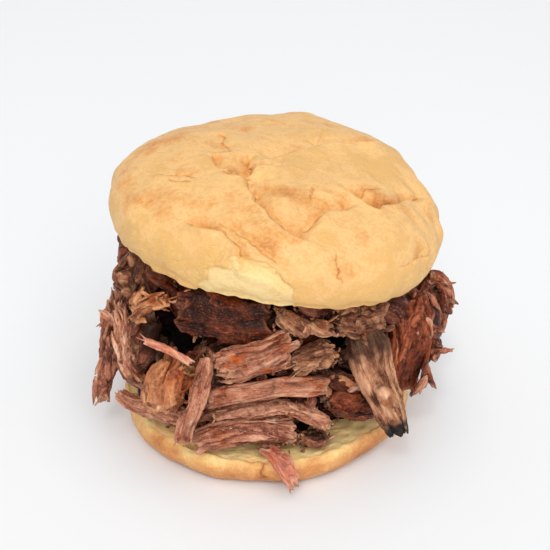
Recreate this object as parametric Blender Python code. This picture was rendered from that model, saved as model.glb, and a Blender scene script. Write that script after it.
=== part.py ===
"""Brisket sandwich: a soft round bun, cut across, on a spilling heap of pulled brisket.

The frame is the lower bun's: origin at the middle of its flat underside, +Z up, and
the front of the sandwich, where most of the meat hangs out, faces -Y. Sizes are given
in millimetres and are turned into metres when a mesh is made.
"""

import math

import bpy
import numpy as np
from mathutils import Vector

MM = 0.001

# Lower bun
HEEL_RADIUS = 50.2
HEEL_BASE_RADIUS = 41.5
HEEL_WIDEST_Z = 8.0
HEEL_RIM_Z = 11.4
HEEL_RIM_ROUND = 1.6
HEEL_DOME = 0.5

# Top bun, in its own frame: the middle of its underside is at its origin
CROWN_RADIUS = 54.8
CROWN_HEIGHT = 31.0
CROWN_WIDEST_Z = 10.0
CROWN_UNDERCUT = 5.0
CROWN_ROUNDNESS = 2.3
CROWN_PLACE = (3.3, -6.0, 73.3)
CROWN_TILT = (-2.7, 6.3)

# Heap of brisket between them
HEAP_RADIUS = 51.0
HEAP_CENTRE = (2.0, -1.0)
HEAP_BELLY = 0.42
GAP = 0.6
BUN_GAP = 0.7

# The crown's folds: points in its own frame, then depth and half-width
CROWN_FOLDS = {
    "pucker": ([(-21, -10, 30), (-11, -6, 31), (-12, -18, 30)], 1.6, 5.0),
    "long_fold": ([(-12, -18, 30), (-7, -28, 29), (-4, -38, 27), (6, -45, 25)], 1.6, 5.0),
    "back_fold": ([(9, 12, 31), (18, 12, 30), (30, 18, 28)], 1.6, 5.0),
    "right_fold": ([(20, -20, 29), (29, -23, 26), (38, -14, 24), (47, 1, 20)], 2.2, 5.0),
    "front_step": ([(-27, -40, 22), (-18, -45, 22), (-10, -52, 17), (2, -55, 11)], 1.8, 4.5),
}

# Dark hollows in the heap: azimuth in degrees, height share, depth, then their half sizes
HEAP_HOLLOWS = {
    "left_hollow": (-136, 0.67, 12.0, 16, 0.20),
    "front_hollow": (-57, 0.60, 9.0, 13, 0.20),
    "low_hollow": (-95, 0.32, 5.0, 20, 0.10),
    "bare_rim": (-46, 0.0, 9.0, 26, 0.24),
}

# Crust colours, and the kinds of meat with their colour and roughness
LOWER_CRUST = (0.74, 0.44, 0.19)
CROWN_CRUST = (0.86, 0.53, 0.23)
MEATS = {
    "core": ((0.060, 0.018, 0.010), 0.40),
    "lean": ((0.260, 0.110, 0.080), 0.55),
    "pink": ((0.420, 0.160, 0.110), 0.45),
    "sauced": ((0.190, 0.042, 0.014), 0.30),
    "bark": ((0.085, 0.035, 0.025), 0.60),
    "fat": ((0.400, 0.190, 0.090), 0.50),
}

# Larger pieces of meat: kind, centre line, width, thickness, the way the flat side
# faces, and how far the torn ends reach in and out
PIECES = {
    "upright_strip": {
        "meat": "lean",
        "path": [(-18.5, -47, 52), (-19.5, -49.5, 45.5), (-22, -50.5, 35.5), (-26, -51, 23.5)],
        "width": 5.6, "thickness": 3.2, "faces": (-0.1, -0.9, 0.4), "torn": 1.4,
    },
    "long_bar": {
        "meat": "lean",
        "path": [(-17.5, -46.5, 36.4), (-7, -48.5, 40.4), (6, -48.5, 42.4), (19.5, -44.5, 39.9)],
        "width": 6.6, "thickness": 4.6, "faces": (0, -0.8, 0.6), "torn": 1.8,
    },
    "lower_fan": {
        "meat": "lean",
        "path": [(-21.5, -45.5, 17.6), (-12.5, -45, 21), (-1, -45, 22.5), (8.5, -44.5, 21.2)],
        "width": 7.5, "thickness": 5.0, "faces": (0, -0.8, 0.6), "torn": 2.0,
    },
    "upper_fan": {
        "meat": "lean",
        "path": [(-14, -41.4, 26.8), (-5, -43.4, 29.8), (4, -44.4, 31.3), (13, -43.4, 28.8), (20, -42.5, 24)],
        "width": 4.8, "thickness": 4.0, "faces": (0, -0.7, 0.7), "torn": 1.8,
    },
    "hanging_strip": {
        "meat": "pink",
        "path": [(0.7, -44.5, 14.6), (4, -48.8, 14), (7.2, -52, 10.8), (9.2, -52.8, 7.7)],
        "width": 6.5, "thickness": 2.6, "faces": (0.2, -0.7, 0.7), "torn": 1.6,
    },
    "charred_plank": {
        "meat": "bark",
        "path": [(31, -39.5, 56), (33, -42, 50.5), (36.1, -45, 42.7), (39.8, -46.8, 33), (43, -47, 25.5)],
        "width": 14.5, "thickness": 7.0, "faces": (-0.3, -0.8, 0.5), "torn": 2.2, "narrow": 0.6,
    },
    "sauced_slab": {
        "meat": "sauced",
        "path": [(46.5, -22, 57), (47.5, -27, 49.5), (47, -31, 40.5), (45, -33.5, 32.5)],
        "width": 15.0, "thickness": 7.0, "faces": (0.6, -0.7, 0.4), "torn": 2.4,
    },
    "top_loop": {
        "meat": "lean",
        "path": [(51, -9, 48), (54.5, -5, 54.5), (58.8, -3, 54), (61.5, -4, 46.5), (58.5, -8, 36.5)],
        "width": 4.6, "thickness": 4.0, "faces": (0.5, -0.8, 0.3), "torn": 1.0,
    },
    "dark_knob": {
        "meat": "bark",
        "path": [(-38.5, -16.5, 71), (-41, -20, 66), (-42, -22.5, 61.5)],
        "width": 12.5, "thickness": 10.5, "faces": (-0.7, -0.7, 0.2), "torn": 2.0,
    },
    "fat_tuft": {
        "meat": "fat",
        "path": [(-42, -32, 60), (-36.5, -36, 65.5), (-31.5, -38.5, 68.5)],
        "width": 6.0, "thickness": 4.0, "faces": (-0.3, -0.8, 0.4), "torn": 1.8,
    },
    "outer_strand": {
        "meat": "lean",
        "path": [(-49, -11.5, 53), (-51.5, -15, 43), (-53, -19, 30), (-55, -22, 19)],
        "width": 6.5, "thickness": 5.5, "faces": (-0.8, -0.6, 0.2), "torn": 1.6,
    },
    "inner_strand": {
        "meat": "lean",
        "path": [(-46.5, -26, 57), (-46, -30, 49), (-43.5, -33.5, 38)],
        "width": 6.5, "thickness": 4.5, "faces": (-0.6, -0.8, 0.2), "torn": 1.4,
    },
    "thin_shred": {
        "meat": "pink",
        "path": [(-38, -41, 55), (-30.5, -46, 54.5), (-22.8, -49.5, 52.5)],
        "width": 3.0, "thickness": 2.0, "faces": (0, -0.9, 0.4), "torn": 1.0,
    },
    "dark_slab": {
        "meat": "sauced",
        "path": [(-25, -41, 67), (-13, -43.2, 65), (-0.5, -42.6, 64)],
        "width": 14.5, "thickness": 6.0, "faces": (-0.1, -0.95, 0.3), "torn": 2.0,
    },
    "curled_chunk": {
        "meat": "fat",
        "path": [(-26, -44, 48), (-31, -46, 42.5), (-33.5, -44, 33)],
        "width": 14.0, "thickness": 9.0, "faces": (-0.3, -0.85, 0.4), "torn": 2.2,
    },
    "left_ledge": {
        "meat": "lean",
        "path": [(-46.5, -31.5, 26.5), (-38, -38.5, 27), (-28, -43.5, 27)],
        "width": 6.0, "thickness": 5.5, "faces": (-0.5, -0.7, 0.5), "torn": 2.0,
    },
    "upper_layer": {
        "meat": "lean",
        "path": [(-15, -47, 50), (-7.5, -49, 53.5), (0, -49, 57), (8, -46.5, 60)],
        "width": 7.0, "thickness": 5.0, "faces": (0, -0.8, 0.6), "torn": 2.0,
    },
    "lower_layer": {
        "meat": "lean",
        "path": [(-12, -46, 45), (-5, -47, 48), (1, -47, 50), (6, -46, 52)],
        "width": 5.0, "thickness": 3.6, "faces": (0, -0.8, 0.6), "torn": 1.6,
    },
    "rough_chunk": {
        "meat": "bark",
        "path": [(9.5, -47, 51), (14.5, -47, 53), (20.5, -46, 54.5)],
        "width": 7.5, "thickness": 6.0, "faces": (0.1, -0.8, 0.6), "torn": 2.0,
    },
    "left_flake": {
        "meat": "bark",
        "path": [(6, -46, 67), (9.5, -46.5, 65.5), (12.5, -46.5, 64)],
        "width": 7.0, "thickness": 1.6, "faces": (0, -0.9, 0.4), "torn": 1.2,
    },
    "right_flake": {
        "meat": "bark",
        "path": [(14.5, -46, 64), (17.5, -46, 63), (20.5, -46, 63)],
        "width": 6.0, "thickness": 1.6, "faces": (0, -0.9, 0.4), "torn": 1.2,
    },
    "bark_chunk": {
        "meat": "bark",
        "path": [(23.5, -41, 63.5), (29, -41, 62.5), (36, -37, 62)],
        "width": 9.0, "thickness": 7.0, "faces": (0.2, -0.9, 0.3), "torn": 2.0,
    },
    "right_ledge": {
        "meat": "sauced",
        "path": [(22, -37.5, 29.5), (29, -36.5, 27.5), (34.5, -33, 24)],
        "width": 9.0, "thickness": 8.0, "faces": (0.3, -0.8, 0.5), "torn": 2.0,
    },
    "dark_tail": {
        "meat": "bark",
        "path": [(12, -42, 16.8), (15.5, -42, 16.4), (19.5, -40.5, 16.2)],
        "width": 5.5, "thickness": 4.0, "faces": (0.1, -0.8, 0.6), "torn": 1.6,
    },
}
ALONG = 7
AROUND = 9


def material(name, colour, roughness):
    """A Principled material of one colour."""
    made = bpy.data.materials.new(name)
    made.use_nodes = True
    shader = made.node_tree.nodes["Principled BSDF"]
    shader.inputs["Base Color"].default_value = (*colour, 1.0)
    shader.inputs["Roughness"].default_value = roughness
    shader.inputs["Metallic"].default_value = 0.0
    return made


def closed_object(name, rings, first_end, last_end, finish):
    """Joins rings of points, (row, around, xyz), and closes each end with a fan."""
    rows, around, _ = rings.shape
    points = np.concatenate([rings.reshape(-1, 3), [first_end, last_end]])
    first, last = rows * around, rows * around + 1
    faces = []
    for row in range(rows - 1):
        for step in range(around):
            here, there = row * around + step, row * around + (step + 1) % around
            faces.append((here, there, there + around, here + around))
    for step in range(around):
        after = (step + 1) % around
        faces.append((first, after, step))
        faces.append((last, (rows - 1) * around + step, (rows - 1) * around + after))
    mesh = bpy.data.meshes.new(name)
    mesh.from_pydata((points * MM).tolist(), [], faces)
    mesh.shade_smooth()
    mesh.set_sharp_from_angle(angle=math.radians(50))
    mesh.materials.append(finish)
    made = bpy.data.objects.new(name, mesh)
    bpy.context.scene.collection.objects.link(made)
    return made


def heel_outline(azimuth):
    """The lower bun's radius: round, a little wider to the sides and to the back."""
    lobes = 0.006 * np.cos(2 * azimuth) + 0.005 * np.sin(3 * azimuth + 0.6)
    return HEEL_RADIUS * (1 + lobes + 0.028 * np.sin(azimuth))


def heel_top(x, y):
    """Height of the lower bun's cut face: low waves, and a slight dome in the middle."""
    share = np.hypot(x, y) / HEEL_RADIUS
    waves = 0.22 * np.sin(x / 6.1) * np.cos(y / 7.3 + 0.8)
    return HEEL_RIM_Z + HEEL_DOME * (1 - share**2) + waves


def lower_bun(finish):
    azimuth = np.linspace(0, 2 * math.pi, 46, endpoint=False)
    outline = heel_outline(azimuth)
    rings = []
    for share in (0.45, 1.0):
        rings.append((share * HEEL_BASE_RADIUS * outline / HEEL_RADIUS, 0 * azimuth))
    for turn in np.radians((32, 60, 90)):
        radius = HEEL_BASE_RADIUS + (HEEL_RADIUS - HEEL_BASE_RADIUS) * math.sin(turn)
        height = HEEL_WIDEST_Z * (1 - math.cos(turn))
        rings.append((radius * outline / HEEL_RADIUS, height + 0 * azimuth))
    for inset, share in ((0.35, 0.65), (HEEL_RIM_ROUND, 1.0)):
        height = HEEL_WIDEST_Z + share * (HEEL_RIM_Z - HEEL_WIDEST_Z)
        rings.append((outline - inset, height + 0 * azimuth))
    for share in (0.93, 0.78, 0.55, 0.28):
        radius = share * outline
        rings.append((radius, heel_top(radius * np.cos(azimuth), radius * np.sin(azimuth))))
    points = [np.stack([r * np.cos(azimuth), r * np.sin(azimuth), z], 1) for r, z in rings]
    return closed_object("lower_bun", np.array(points), (0, 0, 0), (0, 0, heel_top(0, 0)), finish)


def crown_outline(azimuth):
    """The top bun's radius: round, pressed in a little where the folds run out."""
    return CROWN_RADIUS * (1 - 0.011 * np.sin(2 * azimuth) - 0.010 * np.cos(3 * azimuth))


def crown_sag(azimuth, share):
    """How the soft bun sags or lifts towards its rim."""
    twice = -1.8 * np.cos(2 * azimuth) + 1.9 * np.sin(2 * azimuth)
    thrice = -0.9 * np.cos(3 * azimuth) + 0.2 * np.sin(3 * azimuth)
    return share**2 * (twice + thrice)


def distance_to_line(points, line):
    """Each point's distance to the nearest stretch of a line of points."""
    nearest = np.full(len(points), np.inf)
    for start, end in zip(np.array(line[:-1], float), np.array(line[1:], float)):
        run = end - start
        along = np.clip((points - start) @ run / (run @ run), 0, 1)
        gap = np.linalg.norm(points - start - along[:, None] * run, axis=1)
        nearest = np.minimum(nearest, gap)
    return nearest


def folded(points):
    """Presses each fold into the crown, towards a point deep inside it."""
    inwards = np.array([0, 0, 4.0]) - points
    inwards /= np.linalg.norm(inwards, axis=1)[:, None]
    depth = np.zeros(len(points))
    for line, most, half_width in CROWN_FOLDS.values():
        depth += most * np.exp(-((distance_to_line(points, line) / half_width) ** 2))
    return points + depth[:, None] * inwards


def crown(finish):
    azimuth = np.linspace(0, 2 * math.pi, 72, endpoint=False)
    outline = crown_outline(azimuth)
    rings = []
    dome = CROWN_HEIGHT - CROWN_WIDEST_Z
    power = 2 / CROWN_ROUNDNESS
    for turn in np.radians((86, 78, 69, 60, 50, 40, 30, 20, 10, 0)):
        share = math.cos(turn) ** power
        height = CROWN_WIDEST_Z + dome * math.sin(turn) ** power
        rings.append((share * outline, height, share))
    for share in (0.75, 0.5, 0.25, 0.08, 0.0):
        inset = CROWN_UNDERCUT * (1 - share) ** CROWN_ROUNDNESS
        rings.append((outline - inset, share * CROWN_WIDEST_Z, 1 - inset / CROWN_RADIUS))
    for share in (0.7, 0.4, 0.15):
        rings.append((share * outline, 0.0, share))
    points = []
    for radius, height, share in rings:
        level = height + crown_sag(azimuth, share)
        points.append(np.stack([radius * np.cos(azimuth), radius * np.sin(azimuth), level], 1))
    points = np.array(points)[::-1]
    shaped = folded(points.reshape(-1, 3)).reshape(points.shape)
    made = closed_object("crown", shaped, (0, 0, 0), (0, 0, CROWN_HEIGHT), finish)
    made.location = Vector(CROWN_PLACE) * MM
    made.rotation_euler = [math.radians(angle) for angle in (*CROWN_TILT, 0)]
    return made


def crown_underside(x, y):
    """Height of the top bun's underside over a point of the sandwich."""
    right, back = x - CROWN_PLACE[0], y - CROWN_PLACE[1]
    share = np.minimum(np.hypot(right, back) / CROWN_RADIUS, 1)
    slope_x, slope_y = (math.tan(math.radians(angle)) for angle in CROWN_TILT)
    sag = crown_sag(np.arctan2(back, right), share)
    return CROWN_PLACE[2] + back * slope_x - right * slope_y + sag


def heap_radius(azimuth, level):
    """The heap's radius at a height share: lobes, lumps of seeded waves, and hollows."""
    lobes = 2.0 * np.cos(azimuth) + 1.5 * np.cos(2 * azimuth) + 3.5 * np.sin(azimuth)
    below = 0.13 * np.clip(1 - level / HEAP_BELLY, 0, 1) ** 2
    above = 0.14 * np.clip((level - HEAP_BELLY) / (1 - HEAP_BELLY), 0, 1) ** 2
    radius = (HEAP_RADIUS + lobes) * (1 - below - above)
    chance = np.random.default_rng(7)
    for turns, waves in ((4, 1.0), (7, 1.6), (9, 2.6), (13, 2.2)):
        phase, lean = chance.uniform(0, 2 * math.pi), chance.uniform(-3, 3)
        swell = np.sin(turns * azimuth + 2 * math.pi * waves * level + phase + lean * level)
        radius = radius + 1.1 * swell
    for middle, height, depth, half_turn, half_height in HEAP_HOLLOWS.values():
        turned = np.degrees(np.angle(np.exp(1j * (azimuth - math.radians(middle)))))
        off = (turned / half_turn) ** 2 + ((level - height) / half_height) ** 2
        radius = radius - depth * np.exp(-off)
    return radius


def heap(finish):
    azimuth = np.linspace(0, 2 * math.pi, 48, endpoint=False)
    centre_x, centre_y = HEAP_CENTRE
    across = [(share, 0.0) for share in (0.3, 0.7)]
    across += [(1.0, level) for level in np.linspace(0, 1, 10)]
    across += [(share, 1.0) for share in (0.7, 0.3)]
    rings = []
    for share, level in across:
        radius = share * heap_radius(azimuth, level)
        x, y = centre_x + radius * np.cos(azimuth), centre_y + radius * np.sin(azimuth)
        low, high = heel_top(x, y) + BUN_GAP, crown_underside(x, y) - BUN_GAP
        rings.append(np.stack([x, y, low + level * (high - low)], 1))
    low_end = (centre_x, centre_y, heel_top(centre_x, centre_y) + BUN_GAP)
    high_end = (centre_x, centre_y, crown_underside(centre_x, centre_y) - BUN_GAP)
    return closed_object("brisket_heap", np.array(rings), low_end, high_end, finish)


def smooth_line(points, count):
    """A Catmull-Rom curve through the points, read at count even steps."""
    points = np.array(points, float)
    knots = np.concatenate([[2 * points[0] - points[1]], points, [2 * points[-1] - points[-2]]])
    place = np.linspace(0, len(points) - 1, count)
    at = np.minimum(place.astype(int), len(points) - 2)
    t = (place - at)[:, None]
    before, start, end, after = (knots[at + step] for step in range(4))
    bend = 2 * before - 5 * start + 4 * end - after
    return 0.5 * (2 * start + (end - before) * t + bend * t**2
                  + (3 * start - before - 3 * end + after) * t**3)


def piece_rings(shape, seed, swell=0.0):
    """Rings of a bundle of fibres carried along its line, and its two torn ends.

    The section is a rounded rectangle whose ridges run the length of the piece. Swell
    makes it larger all round, for the pocket that it leaves in the heap.
    """
    chance = np.random.default_rng(seed)
    line = smooth_line(shape["path"], ALONG)
    tangent = np.gradient(line, axis=0)
    tangent /= np.linalg.norm(tangent, axis=1)[:, None]
    across = np.cross(shape["faces"], tangent)
    across /= np.linalg.norm(across, axis=1)[:, None]
    out = np.cross(tangent, across)
    angle = np.linspace(0, 2 * math.pi, AROUND, endpoint=False) + 0.2
    wide = np.sign(np.cos(angle)) * np.abs(np.cos(angle)) ** 0.75
    deep = np.sign(np.sin(angle)) * np.abs(np.sin(angle)) ** 0.75
    ridges = 1 + chance.uniform(-0.12, 0.06, AROUND)
    place = np.linspace(0, 1, ALONG)
    waist = 1 + 0.07 * np.sin(2 * math.pi * place * 1.4 + chance.uniform(0, 6))
    waist[[0, -1]] *= 0.78
    waist *= np.linspace(1, shape.get("narrow", 1), ALONG)
    half_width, half_depth = shape["width"] / 2, shape["thickness"] / 2
    width = (half_width * waist[:, None] * ridges + swell) * wide
    depth = (half_depth * waist[:, None] * ridges + swell) * deep
    rings = line[:, None] + width[..., None] * across[:, None] + depth[..., None] * out[:, None]
    torn = shape["torn"]
    for end, way in ((0, -1), (-1, 1)):
        reach = way * (swell + chance.uniform(-torn, torn, AROUND) / 2)
        rings[end] += reach[:, None] * tangent[end]
    tips = [line[end] + way * (0.3 * torn + swell) * tangent[end] for end, way in ((0, -1), (-1, 1))]
    return rings, tips


def meat_piece(name, shape, seed, core, finish):
    """One large piece of meat, and the pocket that it is pressed into."""
    rings, tips = piece_rings(shape, seed)
    made = closed_object(name, rings, tips[0], tips[1], finish)
    rings, tips = piece_rings(shape, seed, swell=GAP)
    pocket = closed_object(name + "_pocket", rings, tips[0], tips[1], finish)
    pocket.hide_render = True
    pocket.display_type = "WIRE"
    cut = core.modifiers.new(name, "BOOLEAN")
    cut.operation = "DIFFERENCE"
    cut.object = pocket
    return made


def clear_scene():
    for old in list(bpy.data.objects):
        bpy.data.objects.remove(old)


def main():
    clear_scene()
    lower_bun(material("lower_bun_crust", LOWER_CRUST, 0.60))
    crown(material("crown_crust", CROWN_CRUST, 0.50))
    finishes = {kind: material(kind + "_meat", *look) for kind, look in MEATS.items()}
    core = heap(finishes["core"])
    for seed, (name, shape) in enumerate(PIECES.items()):
        meat_piece(name, shape, seed, core, finishes[shape["meat"]])


main()
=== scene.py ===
import math

import bpy
import numpy as np
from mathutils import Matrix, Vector
from mathutils.bvhtree import BVHTree


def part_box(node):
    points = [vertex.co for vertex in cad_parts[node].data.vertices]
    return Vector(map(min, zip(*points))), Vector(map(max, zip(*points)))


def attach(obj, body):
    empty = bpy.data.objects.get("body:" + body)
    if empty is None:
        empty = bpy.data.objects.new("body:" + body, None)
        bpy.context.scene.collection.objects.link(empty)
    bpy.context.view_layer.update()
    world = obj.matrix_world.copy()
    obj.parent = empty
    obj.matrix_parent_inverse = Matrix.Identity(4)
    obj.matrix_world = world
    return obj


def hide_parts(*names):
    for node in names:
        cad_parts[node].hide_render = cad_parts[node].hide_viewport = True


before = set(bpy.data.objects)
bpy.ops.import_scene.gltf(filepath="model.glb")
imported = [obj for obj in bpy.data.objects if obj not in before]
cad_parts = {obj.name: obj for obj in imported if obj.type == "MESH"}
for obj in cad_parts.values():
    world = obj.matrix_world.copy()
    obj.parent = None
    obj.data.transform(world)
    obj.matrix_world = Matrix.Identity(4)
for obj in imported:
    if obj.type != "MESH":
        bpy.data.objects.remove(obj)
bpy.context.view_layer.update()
mm = 0.001   # lengths below are in millimetres until makeObject turns them into metres
fullTurn = 2 * math.pi


def unit(rows):
    # each row divided by its own length
    return rows / np.maximum(np.linalg.norm(rows, axis=-1, keepdims=True), 1e-9)


def ease(value, low, high):
    # 0 below low, 1 above high, and a smooth S between them
    t = np.clip((value - low) / (high - low), 0, 1)
    return t * t * (3 - 2 * t)


def hill(value):
    # 1 at 0 and falling off on both sides: e to the power of minus the value squared
    return np.exp(-(value ** 2))


def waves(points, size, seed, count=18):
    # smooth lumps of about the given size: a sum of sine waves in seeded directions,
    # scaled so that most values lie between -1.5 and 1.5
    chance = np.random.default_rng(seed)
    ways = unit(chance.normal(size=(count, 3)))
    pitch = fullTurn / (2 * size * chance.uniform(0.65, 1.5, count))
    phase = chance.uniform(0, fullTurn, count)
    return np.sin(points @ (ways * pitch[:, None]).T + phase).sum(-1) * math.sqrt(2 / count)


def creased(points, size, seed):
    # rounded ridges that meet in sharp grooves: the size of a wave, flattened off where it is
    # high, so 0 in a groove and about 1 on a ridge
    return np.tanh(1.3 * np.abs(waves(points, size, seed, 12)))


def runAlong(line, weight=1.0):
    # how far along a line each of its points is: the sum of the steps up to it
    return np.concatenate([[0], np.cumsum(np.linalg.norm(np.diff(line, axis=0), axis=1) * weight)])


def lineSides(line, faces):
    # three ways at each point of a line: on along it, across its flat side, and out of that side
    tangent = unit(np.gradient(line, axis=0))
    across = unit(np.cross(faces, tangent))
    return tangent, across, np.cross(tangent, across)


def rounded(angle, square):
    # a circle pressed towards a rectangle: its cosine and sine to a power below 1, signs kept
    return (np.sign(way) * np.abs(way) ** square for way in (np.cos(angle), np.sin(angle)))


def linePoint(line, share):
    # the point at a share of the way along a line of points
    spot = share * (len(line) - 1)
    return np.array([np.interp(spot, np.arange(len(line)), line[:, way]) for way in range(3)])


def smoothLine(points, step):
    # a Catmull-Rom curve through the points, read at even steps of its own length; also
    # gives the place of each reading in the list of points, from 0 to 1
    points = np.array(points, float)
    knots = np.concatenate([[2 * points[0] - points[1]], points, [2 * points[-1] - points[-2]]])
    place = np.linspace(0, len(points) - 1, 300)
    for turn in range(2):
        at = np.minimum(place.astype(int), len(points) - 2)
        t = (place - at)[:, None]
        before, start, end, after = (knots[at + shift] for shift in range(4))
        bend = 2 * before - 5 * start + 4 * end - after
        line = 0.5 * (2 * start + (end - before) * t + bend * t ** 2
                      + (3 * start - before - 3 * end + after) * t ** 3)
        if turn == 0:
            run = runAlong(line)
            count = max(8, int(run[-1] / step) + 1)
            place = np.interp(np.linspace(0, run[-1], count), run, place)
    return line, place / (len(points) - 1)


def evenRows(line, scale, weight, rows):
    # reads a half section at steps of even length, each length times its own weight; scale
    # turns a share of the radius into millimetres
    run = runAlong(line * scale, weight)
    place = np.linspace(0, run[-1], rows)
    return np.interp(place, run, line[:, 0]), np.interp(place, run, line[:, 1]), place, run


def gridNormals(points):
    # outward directions on a closed grid: the cross product of its two ways of running
    around = np.roll(points, -1, axis=1) - np.roll(points, 1, axis=1)
    return unit(np.cross(around, np.gradient(points, axis=0)))


def nearLine(points, line):
    # each point's distance to a line of points, its side of it, and its share of the way along
    line = np.array(line, float)
    below = np.array([0, 0, -20.0])   # a place inside the bun, from which a line's sides are told
    runs = np.linalg.norm(np.diff(line, axis=0), axis=1)
    nearest = np.full(len(points), 1e9)
    side, share, done = np.zeros(len(points)), np.zeros(len(points)), 0.0
    for start, end, run in zip(line[:-1], line[1:], runs):
        way = (end - start) / run
        along = np.clip((points - start) @ way, 0, run)
        off = points - start - along[:, None] * way
        gap = np.linalg.norm(off, axis=1)
        closer = gap < nearest
        turned = np.cross(way, unit(points - below))
        side = np.where(closer, np.sign((off * turned).sum(1)), side)
        share = np.where(closer, (done + along) / runs.sum(), share)
        nearest = np.where(closer, gap, nearest)
        done += run
    return nearest, side, share


def tubeShape(rings, tips, **marks):
    # joins rings of points (row, around, xyz) into quads and closes both ends with a fan;
    # marks are values for each point, and a tip takes the mean of the ring beside it
    rows, around = rings.shape[:2]
    at = np.arange(rows * around).reshape(rows, around)
    after = np.roll(at, -1, axis=1)
    first, last = rows * around, rows * around + 1
    start = np.stack([np.full(around, first), after[0], at[0]], -1)
    end = np.stack([np.full(around, last), at[-1], after[-1]], -1)
    shape = {
        "co": np.concatenate([rings.reshape(-1, 3), np.array(tips, float)]),
        "quads": np.stack([at[:-1], after[:-1], after[1:], at[1:]], -1).reshape(-1, 4),
        "tris": np.concatenate([start, end]),
    }
    for name, value in marks.items():
        if np.ndim(value) == 1:
            value = value.reshape(rows, around)
        value = np.broadcast_to(value, (rows, around) + np.shape(value)[2:])
        ends = np.stack([value[0].mean(0), value[-1].mean(0)])
        shape[name] = np.concatenate([value.reshape(rows * around, *value.shape[2:]), ends])
    return shape


def joinShapes(shapes):
    # many shapes as one: their arrays end to end, with the corner numbers moved along
    start, joined = 0, {}
    for shape in shapes:
        for key, value in shape.items():
            joined.setdefault(key, []).append(value + start if key in ("quads", "tris") else value)
        start += len(shape["co"])
    return {key: np.concatenate(values) for key, values in joined.items()}


def makeObject(name, shape, finish):
    # a mesh from the arrays, in metres, with each mark as a point attribute
    sets = [shape["quads"], shape["tris"]]
    corners = np.concatenate([faces.ravel() for faces in sets]).astype(np.int32)
    sides = np.concatenate([np.full(len(faces), faces.shape[1]) for faces in sets]).astype(np.int32)
    mesh = bpy.data.meshes.new(name)
    mesh.vertices.add(len(shape["co"]))
    mesh.vertices.foreach_set("co", (shape["co"] * mm).astype(np.float32).ravel())
    mesh.loops.add(len(corners))
    mesh.loops.foreach_set("vertex_index", corners)
    mesh.polygons.add(len(sides))
    mesh.polygons.foreach_set("loop_start", (np.cumsum(sides) - sides).astype(np.int32))
    mesh.polygons.foreach_set("use_smooth", np.ones(len(sides), bool))
    mesh.update(calc_edges=True)
    for key, value in shape.items():
        if key not in ("co", "quads", "tris"):
            kind, field = ("FLOAT_VECTOR", "vector") if value.ndim == 2 else ("FLOAT", "value")
            mark = mesh.attributes.new(key, kind, "POINT")
            mark.data.foreach_set(field, value.astype(np.float32).ravel())
    mesh.materials.append(finish)
    print(f"  {name}: {(sides - 2).sum()} triangles")
    return addToScene(name, mesh)


def addToScene(name, data):
    # a new object from its data, linked into the scene
    made = bpy.data.objects.new(name, data)
    bpy.context.scene.collection.objects.link(made)
    return made


def nodeBox(node):
    # a node's lowest and highest corner in millimetres
    low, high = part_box(node)
    return np.array(low) / mm, np.array(high) / mm


def nodeMesh(node):
    # a node's points in millimetres and its triangles, with doubled points merged
    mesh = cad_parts[node].data
    mesh.calc_loop_triangles()
    points = np.empty(len(mesh.vertices) * 3, np.float32)
    mesh.vertices.foreach_get("co", points)
    faces = np.empty(len(mesh.loop_triangles) * 3, np.int32)
    mesh.loop_triangles.foreach_get("vertices", faces)
    points = points.reshape(-1, 3).astype(float) / mm
    _, first, index = np.unique(np.round(points, 2), axis=0, return_index=True, return_inverse=True)
    return points[first], index.reshape(-1)[faces].reshape(-1, 3)


def castTable(node, starts, ways, farthest):
    # how far a ray runs from each start before it meets the node, on a grid of rays
    points, faces = nodeMesh(node)
    tree = BVHTree.FromPolygons(points.tolist(), faces.tolist())
    reach = []
    for start, way in zip(starts.reshape(-1, 3), ways.reshape(-1, 3)):
        hit = tree.ray_cast(start.tolist(), way.tolist(), farthest)
        reach.append(farthest if hit[3] is None else hit[3])
    return np.array(reach).reshape(starts.shape[:-1])


def spineOf(node, starts):
    # a piece's middle line, its width and thickness along it, and the way its flat side
    # faces: its points are taken ring by ring, by how many edges away they are from a tip
    points, faces = nodeMesh(node)
    count = len(points)
    near = np.eye(count, dtype=bool)
    for a, b in ((0, 1), (1, 2), (2, 0)):
        near[faces[:, a], faces[:, b]] = near[faces[:, b], faces[:, a]] = True
    way = {"left": (-1, 0, 0), "top": (0, 0, 1), "back": (0, 1, 0)}[starts]
    tips = sorted(np.argsort(near.sum(1))[-2:], key=lambda tip: -(points[tip] @ np.array(way)))
    step = np.full(count, -1)
    reached = np.zeros(count, bool)
    reached[tips[0]] = True
    for hops in range(count):
        step[reached & (step < 0)] = hops
        if reached.all():
            break
        reached = near[reached].any(0)
    rings = [points[step == hops] for hops in range(1, step[tips[1]])]
    middle = np.array([ring.mean(0) for ring in rings])
    tangent = unit(np.gradient(middle, axis=0))
    spread = np.zeros((3, 3))
    for ring, along in zip(rings, tangent):
        off = ring - ring.mean(0)
        off -= np.outer(off @ along, along)
        spread += off.T @ off / len(rings)
    ways = np.linalg.eigh(spread)[1]
    faces = ways[:, 0] if abs(ways[:, 0] @ unit(tangent.mean(0))) < 0.5 else ways[:, 1]
    faces = faces * np.sign(faces @ (middle.mean(0) - heapMiddle + np.array([0, 0, 8.0])))
    _, across, out = lineSides(middle, faces)
    wide, thick = (np.array([np.ptp(ring @ side) for ring, side in zip(rings, sides)]) / 2
                   for sides in (across, out))
    ends = points[tips]
    return {"line": np.concatenate([ends[:1], middle[1:-1], ends[1:]]), "faces": faces,
            "wide": wide, "thick": thick}


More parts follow.
